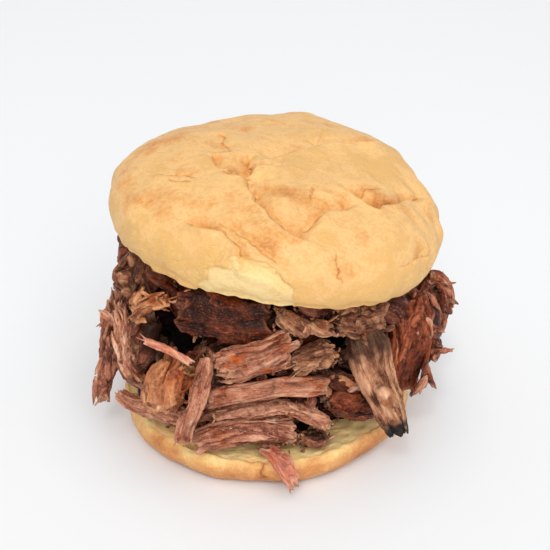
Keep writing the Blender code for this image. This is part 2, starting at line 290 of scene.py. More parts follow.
def cellPattern(points, size, seed):
    # a stretched grid with one random point in each of its cells: gives how deep each place lies
    # inside the patch of its nearest point (0 on the border between two patches, 1 well inside),
    # and that patch's own random value from 0 to 1; the random values mix the cell's numbers
    # with large odd ones and shift them, as a hash does
    at = points / np.array(size, float)
    base = np.floor(at)
    first, second, own = (np.full(at.shape[:-1], value) for value in (9.0, 9.0, 0.0))
    for shift in np.ndindex(3, 3, 3):
        corner = base + np.array(shift) - 1
        whole = corner.astype(np.int64).astype(np.uint32)
        mixed = (whole[..., 0] * np.uint32(73856093) ^ whole[..., 1] * np.uint32(19349663)
                 ^ whole[..., 2] * np.uint32(83492791) ^ np.uint32(seed))
        chances = []
        for turn in range(4):
            mixed = (mixed ^ (mixed >> np.uint32(15))) * np.uint32(2246822519)
            mixed = mixed ^ (mixed >> np.uint32(13))
            chances.append((mixed & np.uint32(65535)) / 65536)
        off = at - corner - 0.5 - 0.8 * (np.stack(chances[:3], -1) - 0.5)
        gap = np.sqrt((off ** 2).sum(-1))
        second = np.minimum(second, np.maximum(gap, first))
        own = np.where(gap < first, chances[3], own)
        first = np.minimum(first, gap)
    return np.clip((second - first) / 0.5, 0, 1), own


def roundTop(inside):
    # the height across a patch: steep at its border and rounded off in its middle
    return (1 - (1 - inside) ** 2) ** 0.7


capShares = np.array([0.12, 0.36, 0.58, 0.78, 0.92])   # how wide the rings of a strand's end are


def strandShape(line, faces, wide, thick, look, chance, around=16):
    # a bundle of fibres: a rounded rectangle carried along a line. Long patches with grooves
    # between them run its length, finer ones lie on them, soft lumps bend its outline, and at its
    # rough ends each patch of fibres breaks off at its own length
    seed = int(chance.integers(1, 1 << 30))
    tangent, across, out = lineSides(line, faces)
    run = runAlong(line)
    caps = len(capShares) if look.get("caps", True) else 0
    rows = np.concatenate([np.zeros(caps, int), np.arange(len(line)), np.full(caps, len(line) - 1)])
    shrink = np.concatenate([capShares[:caps], np.ones(len(line)), capShares[:caps][::-1]])
    angle = np.linspace(0, fullTurn, around, endpoint=False)
    side, up = rounded(angle, look["square"])
    wide, thick = (np.broadcast_to(value, len(line))[rows] for value in (wide, thick))
    a, o = side * (wide * shrink)[:, None], up * (thick * shrink)[:, None]
    s = np.broadcast_to(run[rows][:, None], a.shape)
    grain = np.stack([a, o, s], -1) + chance.uniform(-300, 300, 3)

    stray = look["stray"] * waves(grain * np.array([0.5, 0.5, 1]), 6.0, seed + 5, 8)
    bent = grain + np.stack([stray, -stray, 0 * s], -1)
    cell = np.array([look["ridgeSize"], look["ridgeSize"], look["fibre"]])
    coarse, own = cellPattern(bent, cell, seed)
    fine, fineOwn = cellPattern(bent, cell * np.array([0.4, 0.4, 0.35]), seed + 1)
    coarse, fine = roundTop(coarse), roundTop(fine)
    lumps = waves(grain * np.array([1, 1, 0.6]), look["lumpSize"], seed + 2, 10)
    rise = (look["ridge"] * (coarse - 0.7) + look["plate"] * (own - 0.5) + look["fine"] * (fine - 0.7)
            + 0.6 * look["fine"] * (fineOwn - 0.5) + look["lump"] * lumps
            + 0.35 * look["lump"] * waves(grain, look["lumpSize"] * 0.35, seed + 6, 8))
    rise = rise * np.where(shrink < 1, shrink, 1)[:, None] ** 2
    away = unit(np.stack([np.cos(angle) / wide[:, None], np.sin(angle) / thick[:, None]], -1))
    limit = 0.5 * np.minimum(wide, thick)[:, None]
    rise = np.clip(rise, -limit, limit)
    a, o = a + away[..., 0] * rise, o + away[..., 1] * rise

    fromStart, fromEnd = s, run[-1] - s
    zone = min(look["tornZone"], run[-1] * 0.45)
    startPull, endPull = 1 - ease(fromStart, 0, zone), 1 - ease(fromEnd, 0, zone)
    flat = grain * np.array([1, 1, 0])
    broken = cellPattern(flat, (look["breakSize"], look["breakSize"], 1), seed + 3)[1]
    breaks = 1.6 * (broken - 0.5) + 0.5 * waves(flat, look["breakSize"] * 1.6, seed + 4, 8)
    shift = look["torn"] * breaks * (endPull - startPull)
    points = (line[rows][:, None] + across[rows][:, None] * a[..., None]
              + out[rows][:, None] * o[..., None] + tangent[rows][:, None] * shift[..., None])

    # painted shade: darker in the grooves between patches of fibres, most in the coarse ones
    deep = 0.75 * (1 - coarse) ** 3 + 0.25 * (1 - fine) ** 2
    pale = look["pale"]
    torn = np.maximum(1 - ease(fromStart, 0, pale), 1 - ease(fromEnd, 0, pale)) * (0.55 + 0.45 * own)
    # the tone rises on the tops of patches and lumps and falls towards the grooves, a little painted shade
    # by relief beside each patch's random tone
    tone = (look["tone"] + look["vary"] * (own - 0.5) + 0.6 * look["vary"] * (fineOwn - 0.5)
            + 0.10 * (coarse - 0.7) + 0.05 * lumps)
    return tubeShape(points, [points[0].mean(0), points[-1].mean(0)], grain=grain, torn=torn,
                     deep=np.clip(deep, 0, 1), tone=np.clip(tone, 0, 1), char=0.0, tan=0.0, glaze=0.0)


def bundleShapes(spine, look, seed):
    # a piece of meat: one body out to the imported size, with narrower strands laid along it,
    # each starting and stopping at its own place, lifting at its ends, and thin loose fibres
    chance = np.random.default_rng(seed)
    line, place = smoothLine(spine["line"], look["step"])
    flare = 1 + look["flare"] * np.abs(2 * place - 1) ** 5
    flare = flare * (1 + look["uneven"] * waves(line, 7.0, seed + 1, 8))
    rings = np.arange(len(spine["wide"]))
    wide, thick = (np.interp(place * rings[-1], rings, spine[key]) * flare for key in ("wide", "thick"))
    length = runAlong(line)[-1]
    _, across, out = lineSides(line, spine["faces"])
    turned = math.radians(look["twist"]) * (place - 0.5)
    faces = out * np.cos(turned)[:, None] + across * np.sin(turned)[:, None]
    _, across, out = lineSides(line, faces)
    line = line + across * (look["wander"] * waves(line, 8.0, seed + 2, 6))[:, None]
    body = look["body"]
    shapes = [strandShape(line, faces, wide * body, thick * body, look, chance, look["around"])]

    strandLook = {**look, **look["strand"]}
    count = look["strands"]
    spots = (np.arange(count) + chance.uniform(0, 0.8, count)) / max(count, 1)
    for spot in spots:
        first = max(0.0, chance.uniform(-0.3, 0.45))
        last = min(1.0, max(chance.uniform(0.55, 1.3), first + 0.4))
        rows = np.arange(int(first * (len(line) - 1)), int(last * (len(line) - 1)) + 1)
        share = np.linspace(0, 1, len(rows))
        own = length * (last - first)
        angle = fullTurn * (spot + look["drift"] * chance.uniform(-1, 1) * (share - 0.5)
                            + 0.015 * np.sin(share * chance.uniform(4, 9) + chance.uniform(0, 6)))
        side, up = rounded(angle, look["square"])
        half = chance.uniform(*look["strandWide"])
        flat = half * chance.uniform(*look["strandFlat"])
        atStart, atEnd = chance.uniform(0, 1, 2) ** 2 * look["splay"]
        lift = atStart * (1 - ease(share * own, 0, 6)) + atEnd * (1 - ease((1 - share) * own, 0, 8))
        level = chance.uniform(-0.6, 0.1) * flat + lift
        path = (line[rows] + across[rows] * (side * (wide[rows] * body + level))[:, None]
                + out[rows] * (up * (thick[rows] * body + level))[:, None])
        outwards = unit(across[rows] * (np.cos(angle) / wide[rows])[:, None]
                        + out[rows] * (np.sin(angle) / thick[rows])[:, None])
        thin = 1 - look["taper"]
        taper = 1 - thin * (1 - ease(share, 0, 0.22)) - thin * ease(share, 0.78, 1)
        strandLook["tone"] = float(np.clip(look["tone"] + chance.normal(0, look["toneSpread"]), 0, 1))
        shapes.append(strandShape(path, outwards, half * taper, flat * taper, strandLook, chance,
                                  look["strandAround"]))
    return shapes + [hairShape(line, across, out, wide, thick, look, chance)
                     for hair in range(look["hairs"])]


def hairShape(line, across, out, wide, thick, look, chance):
    # one thin loose fibre: it starts inside the piece near one of its ends, follows it, then
    # bends away from it and tapers
    late = chance.random() < 0.5
    row = int((len(line) - 1) * (chance.uniform(0.8, 1) if late else chance.uniform(0, 0.2)))
    angle = chance.uniform(0, fullTurn)
    sideways, upwards = across[row] * math.cos(angle), out[row] * math.sin(angle)
    spot = line[row] + sideways * wide[row] * 0.75 + upwards * thick[row] * 0.75
    tangent = unit(np.gradient(line, axis=0))[row] * (1 if late else -1)
    way = unit(tangent + (sideways + upwards) * chance.uniform(0.0, 0.5) + chance.normal(size=3) * 0.15)
    bend = unit(np.cross(way, chance.normal(size=3)))
    length = chance.uniform(*look["hairLength"])
    t = np.linspace(-0.6, 1, 12)[:, None]
    path = spot + way * t * length + bend * (t ** 2) * length * chance.uniform(-0.35, 0.35)
    half = chance.uniform(0.22, 0.5) * (1 - 0.7 * np.clip(t[:, 0], 0, 1) ** 2)
    hair = dict(look, caps=False, ridge=0.0, fine=0.04, plate=0.0, lump=0.05, torn=0.0, pale=1.0,
                square=1.0, tone=float(np.clip(look["tone"] + chance.uniform(-0.2, 0.2), 0, 1)))
    return strandShape(path, bend, half, half * 0.7, hair, chance, 6)


stageLook = {
    "view": {"elevation": 32, "distance": 520, "target": (3.3, 0, 54), "focal": 100.4},
    # each sun: the way its light comes from, its strength, its softness in degrees and its colour
    "suns": {"front": ((0.14, -1.0, 0.76), 1.05, 45, (1.0, 0.99, 0.98)),
             "top": ((0.12, -0.42, 1.0), 0.74, 55, (1.0, 0.99, 0.98)),
             "spark": ((-0.12, -0.75, 0.9), 0.36, 7, (1.0, 1.0, 1.0))},
    "sky": {"overhead": 0.68, "horizon": 0.63, "colour": (0.99, 0.995, 1.0)},
    # the floor fades from near to far between the two distances of reach, in metres; the near colour
    # is painted light, paler and cooler than the far one to offset the sandwich's shade and warm
    # bounce on the floor beside it
    "floor": {"near": (239, 241, 243), "far": (223, 223, 224), "reach": (0.085, 0.60), "half": 4.0},
}


def addStage():
    # the camera stands off its target by the distance, raised by the elevation's sine and drawn
    # back by its cosine; each sun shines from its own way; the sky is a soft tent, brightest
    # overhead; the floor carries painted light, paler and cooler near the middle, fading outwards
    # by the distance to the power 0.6
    view, sky, floor = stageLook["view"], stageLook["sky"], stageLook["floor"]
    tilt = math.radians(view["elevation"])
    data = bpy.data.cameras.new("view")
    data.lens = view["focal"]
    data.sensor_width = 36
    camera = addToScene("view", data)
    away = view["distance"] * mm
    x, y, z = (value * mm for value in view["target"])
    camera.location = (x, y - away * math.cos(tilt), z + away * math.sin(tilt))
    camera.rotation_euler = (math.pi / 2 - tilt, 0, 0)
    bpy.context.scene.camera = camera

    for name, (way, strength, softness, colour) in stageLook["suns"].items():
        data = bpy.data.lights.new(name, "SUN")
        data.angle = math.radians(softness)
        data.energy = strength
        data.color = colour
        addToScene(name, data).rotation_euler = Vector(way).to_track_quat("Z", "Y").to_euler()

    world = bpy.data.worlds.new("tent")
    world.use_nodes = True
    nodes = Nodes(world.node_tree)
    way = nodes.add("ShaderNodeTexCoord").outputs["Generated"]
    height = nodes.add("ShaderNodeSeparateXYZ", {"Vector": way}).outputs["Z"]
    background = world.node_tree.nodes["Background"]
    background.inputs["Color"].default_value = (*sky["colour"], 1)
    nodes.link(nodes.span(height, 0.0, 1.0, sky["horizon"], sky["overhead"]), background.inputs["Strength"])
    bpy.context.scene.world = world
    bpy.context.scene.view_settings.view_transform = "Standard"

    mesh = bpy.data.meshes.new("floor")
    half = floor["half"]
    mesh.from_pydata([(-half, -half, 0), (half, -half, 0), (half, half, 0), (-half, half, 0)],
                     [], [(0, 1, 2, 3)])
    finish, nodes, shader = newFinish("palePaper")
    place = nodes.add("ShaderNodeTexCoord").outputs["Object"]
    away = nodes.add("ShaderNodeVectorMath", {0: place}, operation="LENGTH").outputs["Value"]
    outwards = nodes.math("POWER", nodes.span(away, *floor["reach"]), 0.6)
    nodes.link(nodes.mix(outwards, floor["near"], floor["far"]), shader.inputs["Base Color"])
    setInputs(shader, {"Roughness": 0.9, "Specular IOR Level": 0.0})
    mesh.materials.append(finish)
    addToScene("floor", mesh)
    print("stage: camera, lights and floor")


def tint(red, green, blue):
    # a colour given from 0 to 255 on the screen, as the linear values that shaders use
    share = np.array([red, green, blue]) / 255
    return (*np.where(share <= 0.04045, share / 12.92, ((share + 0.055) / 1.055) ** 2.4), 1)


class Nodes:
    # short ways of placing shader nodes in one material or group
    def __init__(self, tree):
        # the tree that the nodes go in
        self.tree = tree
        self.link = tree.links.new

    def add(self, kind, values=None, **settings):
        # a node with its settings; a value that is a socket is linked, and any other is set
        node = self.tree.nodes.new(kind)
        for key, value in settings.items():
            setattr(node, key, value)
        for key, value in (values or {}).items():
            if isinstance(value, bpy.types.NodeSocket):
                self.link(value, node.inputs[key])
            else:
                node.inputs[key].default_value = value
        return node

    def math(self, operation, a, b=0.0):
        # a and b joined by one operation
        return self.add("ShaderNodeMath", {0: a, 1: b}, operation=operation).outputs[0]

    def plus(self, *values):
        # the sum of the values, one after the other
        total = values[0]
        for value in values[1:]:
            total = self.math("ADD", total, value)
        return total

    def times(self, a, b):
        # a times b
        return self.math("MULTIPLY", a, b)

    def mix(self, share, a, b):
        # colour a, turning into colour b as the share goes from 0 to 1
        colours = [tint(*value) if isinstance(value, tuple) else value for value in (a, b)]
        node = self.add("ShaderNodeMix", {0: share, 6: colours[0], 7: colours[1]}, data_type="RGBA")
        return node.outputs[2]

    def span(self, value, low, high, toLow=0.0, toHigh=1.0):
        # the value's share of the way from low to high, laid over toLow to toHigh and held there
        return self.add("ShaderNodeMapRange", {"Value": value, "From Min": low, "From Max": high,
                                               "To Min": toLow, "To Max": toHigh}).outputs["Result"]

    def noise(self, vector, scale, detail=3.0, rough=0.55, warp=0.0):
        # soft noise from 0 to 1
        return self.add("ShaderNodeTexNoise", {"Vector": vector, "Scale": scale, "Detail": detail,
                                               "Roughness": rough, "Distortion": warp}).outputs["Fac"]

    def mark(self, name, output="Fac"):
        # one of the marks that the mesh carries
        return self.add("ShaderNodeAttribute", attribute_name=name).outputs[output]

    def stretch(self, vector, x, y, z):
        # the vector with each of its three parts times its own factor
        values = {0: vector, 1: (x, y, z)}
        return self.add("ShaderNodeVectorMath", values, operation="MULTIPLY").outputs[0]

    def ramp(self, value, stops):
        # the colour at the value, between the nearest two stops
        node = self.add("ShaderNodeValToRGB", {"Fac": value})
        elements = node.color_ramp.elements
        while len(elements) < len(stops):
            elements.new(0.5)
        for element, (place, colour) in zip(elements, stops):
            element.position = place
            element.color = tint(*colour)
        return node.outputs["Color"]


def newFinish(name):
    # a material with its nodes and its shader
    finish = bpy.data.materials.new(name)
    finish.use_nodes = True
    return finish, Nodes(finish.node_tree), finish.node_tree.nodes["Principled BSDF"]


def setInputs(shader, values):
    # constants on the shader's own sockets
    for name, value in values.items():
        shader.inputs[name].default_value = value


def newGroup(name, inputs, outputs):
    # a shader node group with named sockets; an input without a number is a vector
    group = bpy.data.node_groups.new(name, "ShaderNodeTree")
    for label, value in inputs.items():
        kind = "NodeSocketVector" if value is None else "NodeSocketFloat"
        socket = group.interface.new_socket(label, in_out="INPUT", socket_type=kind)
        if value is not None:
            socket.default_value = value
    for label in outputs:
        group.interface.new_socket(label, in_out="OUTPUT", socket_type="NodeSocketFloat")
    nodes = Nodes(group)
    return group, nodes, nodes.add("NodeGroupInput").outputs, nodes.add("NodeGroupOutput").inputs


def fibreGroup():
    # long thin streaks along a strand, from its straightened coordinates in millimetres: the
    # weighted sum of a broad noise, a fine one and a mottle, with small pale flecks where a
    # fourth noise is high; the flecks are partly pale fat and partly painted wet highlights
    group, nodes, given, out = newGroup("fibreGrain", {"Grain": None, "Coarse": 1.0},
                                        ["Streaks", "Height", "Blotch", "FlecksAndHighlights"])
    grain, coarse = given["Grain"], given["Coarse"]
    wide = nodes.noise(nodes.stretch(grain, 0.8, 0.8, 0.13), coarse, 3.0, 0.6, 0.6)
    fine = nodes.noise(nodes.stretch(grain, 3.0, 3.0, 0.40), coarse, 3.0, 0.65, 0.5)
    mottle = nodes.noise(nodes.stretch(grain, 2.2, 2.2, 1.3), coarse, 4.0, 0.7, 0.3)
    blotch = nodes.noise(nodes.stretch(grain, 0.30, 0.30, 0.16), coarse, 2.0, 0.5)
    flecksAndHighlights = nodes.noise(nodes.stretch(grain, 2.4, 2.4, 1.2), coarse, 3.0, 0.65)
    both = nodes.plus(nodes.times(wide, 0.40), nodes.times(fine, 0.32), nodes.times(mottle, 0.28))
    nodes.link(nodes.span(both, 0.36, 0.64), out["Streaks"])
    nodes.link(nodes.plus(nodes.times(wide, 0.5), nodes.times(fine, 0.8), nodes.times(mottle, 0.6)),
               out["Height"])
    nodes.link(nodes.span(blotch, 0.3, 0.7), out["Blotch"])
    nodes.link(nodes.span(flecksAndHighlights, 0.57, 0.70), out["FlecksAndHighlights"])
    return group


def poreGroup():
    # fine crust or crumb grain from Object coordinates: a soft mottle, small pores, and thin
    # wrinkles where a stretched noise crosses its middle value
    group, nodes, given, out = newGroup(
        "poreGrain", {"Place": None, "Pore": 900.0, "Mottle": 120.0, "Wrinkle": 200.0},
        ["Mottle", "Height", "Wrinkles", "Specks"])
    place = given["Place"]
    mottle = nodes.noise(place, given["Mottle"], 5.0, 0.65, 0.4)
    fine = nodes.noise(place, given["Pore"], 3.0, 0.6)
    crossing = nodes.noise(nodes.stretch(place, 0.8, 1.0, 1.4), given["Wrinkle"], 2.0, 0.5, 0.8)
    away = nodes.math("ABSOLUTE", nodes.math("SUBTRACT", crossing, 0.5))
    patches = nodes.span(nodes.noise(place, nodes.times(given["Wrinkle"], 0.25), 2.0), 0.46, 0.60)
    wrinkles = nodes.times(nodes.span(away, 0.0, 0.028, 1.0, 0.0), patches)
    nodes.link(nodes.span(mottle, 0.3, 0.7), out["Mottle"])
    nodes.link(wrinkles, out["Wrinkles"])
    nodes.link(nodes.span(fine, 0.30, 0.70), out["Specks"])
    height = nodes.plus(fine, nodes.times(mottle, 2.2))
    nodes.link(nodes.math("SUBTRACT", height, nodes.times(wrinkles, 0.5)), out["Height"])
    return group


# tones run from dark to light; shares say how far a colour takes over; shine is the index of
# refraction, and roughness is given dry and sauced; the colour laid in clefts and deep inside
# the heap is painted shade, and the fleck colour is partly pale fat and partly painted wet highlights
meatLooks = {
    "lean": dict(tones=[(0.0, (84, 38, 25)), (0.25, (140, 76, 54)), (0.5, (184, 116, 87)),
        (0.75, (214, 154, 122)), (1.0, (238, 192, 160))], sauceTones=[(0.0, (70, 24, 10)),
        (0.5, (152, 74, 40)), (1.0, (214, 132, 86))], sauceScale=95.0, sauceRange=(0.55, 0.66),
        roughness=(0.46, 0.26), coat=0.0, shine=1.36, tornColour=(232, 176, 140), tornShare=0.75,
        paintedShadeColour=(26, 9, 5), paintedShadeShare=0.95, fleckAndHighlightColour=(234, 196, 178), fleckAndHighlightShare=0.55, bump=0.65),
    "pink": dict(tones=[(0.0, (128, 62, 48)), (0.4, (188, 104, 80)), (0.7, (214, 134, 104)),
        (1.0, (238, 178, 146))], sauceTones=[(0.0, (150, 60, 34)), (0.5, (204, 104, 66)),
        (1.0, (228, 146, 104))], sauceScale=120.0, sauceRange=(0.58, 0.72), roughness=(0.4, 0.28),
        coat=0.1, shine=1.38, tornColour=(244, 190, 158), tornShare=0.9, paintedShadeColour=(80, 30, 20),
        paintedShadeShare=0.7, fleckAndHighlightColour=(244, 202, 180), fleckAndHighlightShare=0.4, bump=0.45),
    "sauced": dict(tones=[(0.0, (46, 17, 7)), (0.25, (90, 37, 19)), (0.5, (150, 74, 44)),
        (0.75, (190, 108, 74)), (1.0, (218, 146, 106))], sauceTones=[(0.0, (38, 11, 3)),
        (0.5, (124, 48, 20)), (1.0, (190, 98, 52))], sauceScale=85.0, sauceRange=(0.45, 0.62),
        roughness=(0.5, 0.27), coat=0.03, shine=1.32, tornColour=(196, 122, 88), tornShare=0.5,
        paintedShadeColour=(12, 4, 2), paintedShadeShare=0.97, fleckAndHighlightColour=(214, 142, 104), fleckAndHighlightShare=0.35, bump=0.6),
    "bark": dict(tones=[(0.0, (36, 17, 11)), (0.25, (96, 53, 37)), (0.5, (152, 96, 68)),
        (0.75, (194, 140, 104)), (1.0, (222, 176, 138))], sauceTones=[(0.0, (44, 16, 8)),
        (0.5, (120, 60, 32)), (1.0, (182, 112, 70))], sauceScale=120.0, sauceRange=(0.54, 0.68),
        roughness=(0.5, 0.3), coat=0.0, shine=1.34, tornColour=(200, 148, 112), tornShare=0.6,
        paintedShadeColour=(14, 7, 4), paintedShadeShare=0.97, fleckAndHighlightColour=(214, 172, 142), fleckAndHighlightShare=0.42, bump=0.8),
    "fat": dict(tones=[(0.0, (98, 46, 24)), (0.3, (158, 88, 52)), (0.6, (202, 132, 86)),
        (1.0, (236, 186, 136))], sauceTones=[(0.0, (96, 32, 10)), (0.5, (178, 86, 38)),
        (1.0, (222, 138, 76))], sauceScale=110.0, sauceRange=(0.52, 0.68), roughness=(0.42, 0.26),
        coat=0.08, shine=1.36, tornColour=(230, 172, 120), tornShare=0.6, paintedShadeColour=(36, 14, 6),
        paintedShadeShare=0.95, fleckAndHighlightColour=(232, 186, 140), fleckAndHighlightShare=0.3, bump=0.6),
    # the core's dark tones are painted shade: the heap's middle stands in for meat in the shade between the
    # shreds
    "core": dict(tones=[(0.0, (20, 8, 5)), (0.5, (58, 26, 16)), (1.0, (104, 56, 38))],
        sauceTones=[(0.0, (18, 6, 3)), (0.5, (62, 22, 9)), (1.0, (108, 48, 22))], sauceScale=90.0,
        sauceRange=(0.42, 0.6), roughness=(0.62, 0.4), coat=0.0, shine=1.22, tornColour=(96, 48, 32),
        tornShare=0.0, paintedShadeColour=(7, 3, 2), paintedShadeShare=0.95, fleckAndHighlightColour=(120, 60, 36), fleckAndHighlightShare=0.2,
        bump=0.7),
}
sharedTones = {
    "tan": [(0.0, (122, 74, 52)), (0.35, (192, 132, 98)), (0.65, (222, 168, 130)), (1.0, (242, 204, 170))],
    "glaze": [(0.0, (120, 40, 10)), (0.45, (190, 84, 28)), (1.0, (232, 136, 54))],
    "char": [(0.0, (14, 12, 11)), (0.6, (36, 30, 28)), (1.0, (74, 62, 54))],
}


def meatFinish(kind, look):
    # streaked meat: tones from dark to light by streak, strand and blotch; pale flecks, partly fat
    # and partly painted wet highlights; painted shade in clefts and deep inside the heap, paler at
    # torn ends, sauced where the sauce mask lies, then tan, glazed or charred by mark
    finish, nodes, shader = newFinish(kind + "Meat")
    grain = nodes.add("ShaderNodeGroup", {"Grain": nodes.mark("grain", "Vector")},
                      node_tree=groups["fibre"]).outputs
    place = nodes.add("ShaderNodeTexCoord").outputs["Object"]
    glaze, streaks = nodes.mark("glaze"), grain["Streaks"]
    level = nodes.plus(nodes.mark("tone"), nodes.span(streaks, 0.0, 1.0, -0.30, 0.30),
                       nodes.span(grain["Blotch"], 0.0, 1.0, -0.12, 0.12))
    sauce = nodes.span(nodes.noise(place, look["sauceScale"], 2.0, 0.5), *look["sauceRange"])
    ends = nodes.times(nodes.mark("torn"), nodes.span(streaks, 0.0, 0.8, 0.35, 1.0))
    colour = nodes.ramp(level, look["tones"])
    colour = nodes.mix(sauce, colour, nodes.ramp(level, look["sauceTones"]))
    # pale flecks: partly fat, partly painted wet highlights
    colour = nodes.mix(nodes.times(grain["FlecksAndHighlights"], look["fleckAndHighlightShare"]), colour, look["fleckAndHighlightColour"])
    colour = nodes.mix(nodes.times(ends, look["tornShare"]), colour, look["tornColour"])
    # painted shade: the shade colour over clefts and places deep inside the heap
    colour = nodes.mix(nodes.times(nodes.mark("deep"), look["paintedShadeShare"]), colour, look["paintedShadeColour"])
    for share, name in ((nodes.times(nodes.mark("tan"), 0.9), "tan"), (nodes.times(glaze, 0.85), "glaze"),
                        (nodes.mark("char"), "char")):
        colour = nodes.mix(share, colour, nodes.ramp(level, sharedTones[name]))
    nodes.link(colour, shader.inputs["Base Color"])
    rough = nodes.span(sauce, 0.0, 1.0, *look["roughness"])
    rough = nodes.math("SUBTRACT", rough, nodes.times(glaze, 0.25))
    rough = nodes.plus(rough, nodes.span(streaks, 0.0, 1.0, 0.08, -0.08))
    nodes.link(rough, shader.inputs["Roughness"])
    bump = nodes.add("ShaderNodeBump", {"Height": grain["Height"], "Strength": look["bump"],
                                        "Distance": 0.0004})
    nodes.link(bump.outputs["Normal"], shader.inputs["Normal"])
    setInputs(shader, {
        "Subsurface Weight": 0.05, "Subsurface Radius": (1.0, 0.35, 0.22), "Subsurface Scale": 0.001,
        "IOR": look["shine"], "Specular IOR Level": 0.30,
        "Coat Weight": look["coat"], "Coat Roughness": 0.18,
    })
    return finish


def breadFinish(name, look):
    # bread: crust tones by how brown each place is, a little browner in mottle, specks and wrinkles,
    # darker along fold lines as painted shade in the creases, and crumb where the crumb mark is set,
    # with juice stain and painted shade in its pits
    finish, nodes, shader = newFinish(name)
    place = nodes.add("ShaderNodeTexCoord").outputs["Object"]
    grain = nodes.add("ShaderNodeGroup", {"Place": place, "Pore": look["pore"], "Mottle": look["mottle"],
                                          "Wrinkle": look["wrinkle"]}, node_tree=groups["pore"]).outputs
    brown, crumb = nodes.mark("brown"), nodes.mark("crumb")
    calm = nodes.span(brown, 0.10, 0.45, 0.25, 1.0)
    # painted shade in the creases: the crust turns browner along the fold lines
    line = nodes.span(nodes.math("ABSOLUTE", nodes.mark("seam")), 0.0, look["seamWide"], 1.0, 0.0)
    line = nodes.times(nodes.math("POWER", line, 1.6), nodes.mark("seamShow"))
    level = nodes.plus(brown, nodes.times(nodes.span(grain["Mottle"], 0, 1, -0.14, 0.14), calm),
                       nodes.span(grain["Specks"], 0, 1, -0.09, 0.09),
                       nodes.times(grain["Wrinkles"], 0.04), nodes.times(line, 0.42))
    inside = nodes.mix(grain["Mottle"], *look["crumb"])
    inside = nodes.mix(nodes.mark("stain"), inside, look["stain"])
    nodes.link(nodes.mix(crumb, nodes.ramp(level, look["crust"]), inside), shader.inputs["Base Color"])
    nodes.link(nodes.span(crumb, 0, 1, look["roughness"], 0.85), shader.inputs["Roughness"])
    height = nodes.math("SUBTRACT", grain["Height"], nodes.times(line, 1.2))
    bump = nodes.add("ShaderNodeBump", {"Height": height, "Strength": look["bump"], "Distance": 0.0005})
    nodes.link(bump.outputs["Normal"], shader.inputs["Normal"])
    setInputs(shader, {"Subsurface Weight": look["through"], "Subsurface Radius": (1.0, 0.6, 0.3),
                       "Subsurface Scale": look["throughDepth"], "IOR": 1.4})
    return finish


crownLook = {
    "radius": 54.8, "height": 31.0, "widest": 10.0, "undercut": 5.0, "roundness": 2.3,
    "tilt": (-2.7, 6.3),       # degrees about x and then about y
    "around": 468, "rows": 208,
    "lumps": ((24, 0.20), (11, 0.24), (5, 0.10), (2.2, 0.04)),   # size and height of each wave
    # swellings and browner places: middle, size, and how much higher or browner
    "humps": {"backRight": ((33, 18, 24), 12, 2.2), "topLeft": ((-24, 6, 28), 14, 1.0),
              "lobe": ((30, -33, 22), 9, 0.8), "middle": ((3, -30, 29), 8, 0.5)},
    "browned": {"left": ((-33, -28, 24), 13, 0.12), "right": ((34, -16, 25), 9, 0.10),
                "back": ((5, 34, 26), 26, 0.07), "pucker": ((-14, -14, 30), 8, 0.10),
                "streak": ((2, -47, 22), 8, 0.10), "rightLow": ((39, -32, 17), 10, 0.10),
                "topRim": ((-30, 30, 24), 16, 0.03)},
    # the pale patch at the front: its upper border as (x, height)
    "patchTop": ((-23, 5), (-20, 12.0), (-14, 18.0), (-7, 19.5), (-1, 17.0), (4, 12.5), (6.5, 3)),
}
crownBread = {
    "crust": [(0.0, (242, 210, 148)), (0.10, (238, 202, 138)), (0.17, (232, 190, 122)),
              (0.26, (226, 178, 106)), (0.38, (228, 178, 110)), (0.52, (237, 191, 126)),
              (0.76, (222, 158, 88)), (1.0, (180, 106, 50))],
    "crumb": ((240, 196, 126), (252, 220, 158)), "stain": (190, 130, 72),
    "pore": 900.0, "mottle": 130.0, "wrinkle": 170.0, "roughness": 0.50, "bump": 0.50, "seamWide": 0.85,
    "through": 0.06, "throughDepth": 0.001,
}
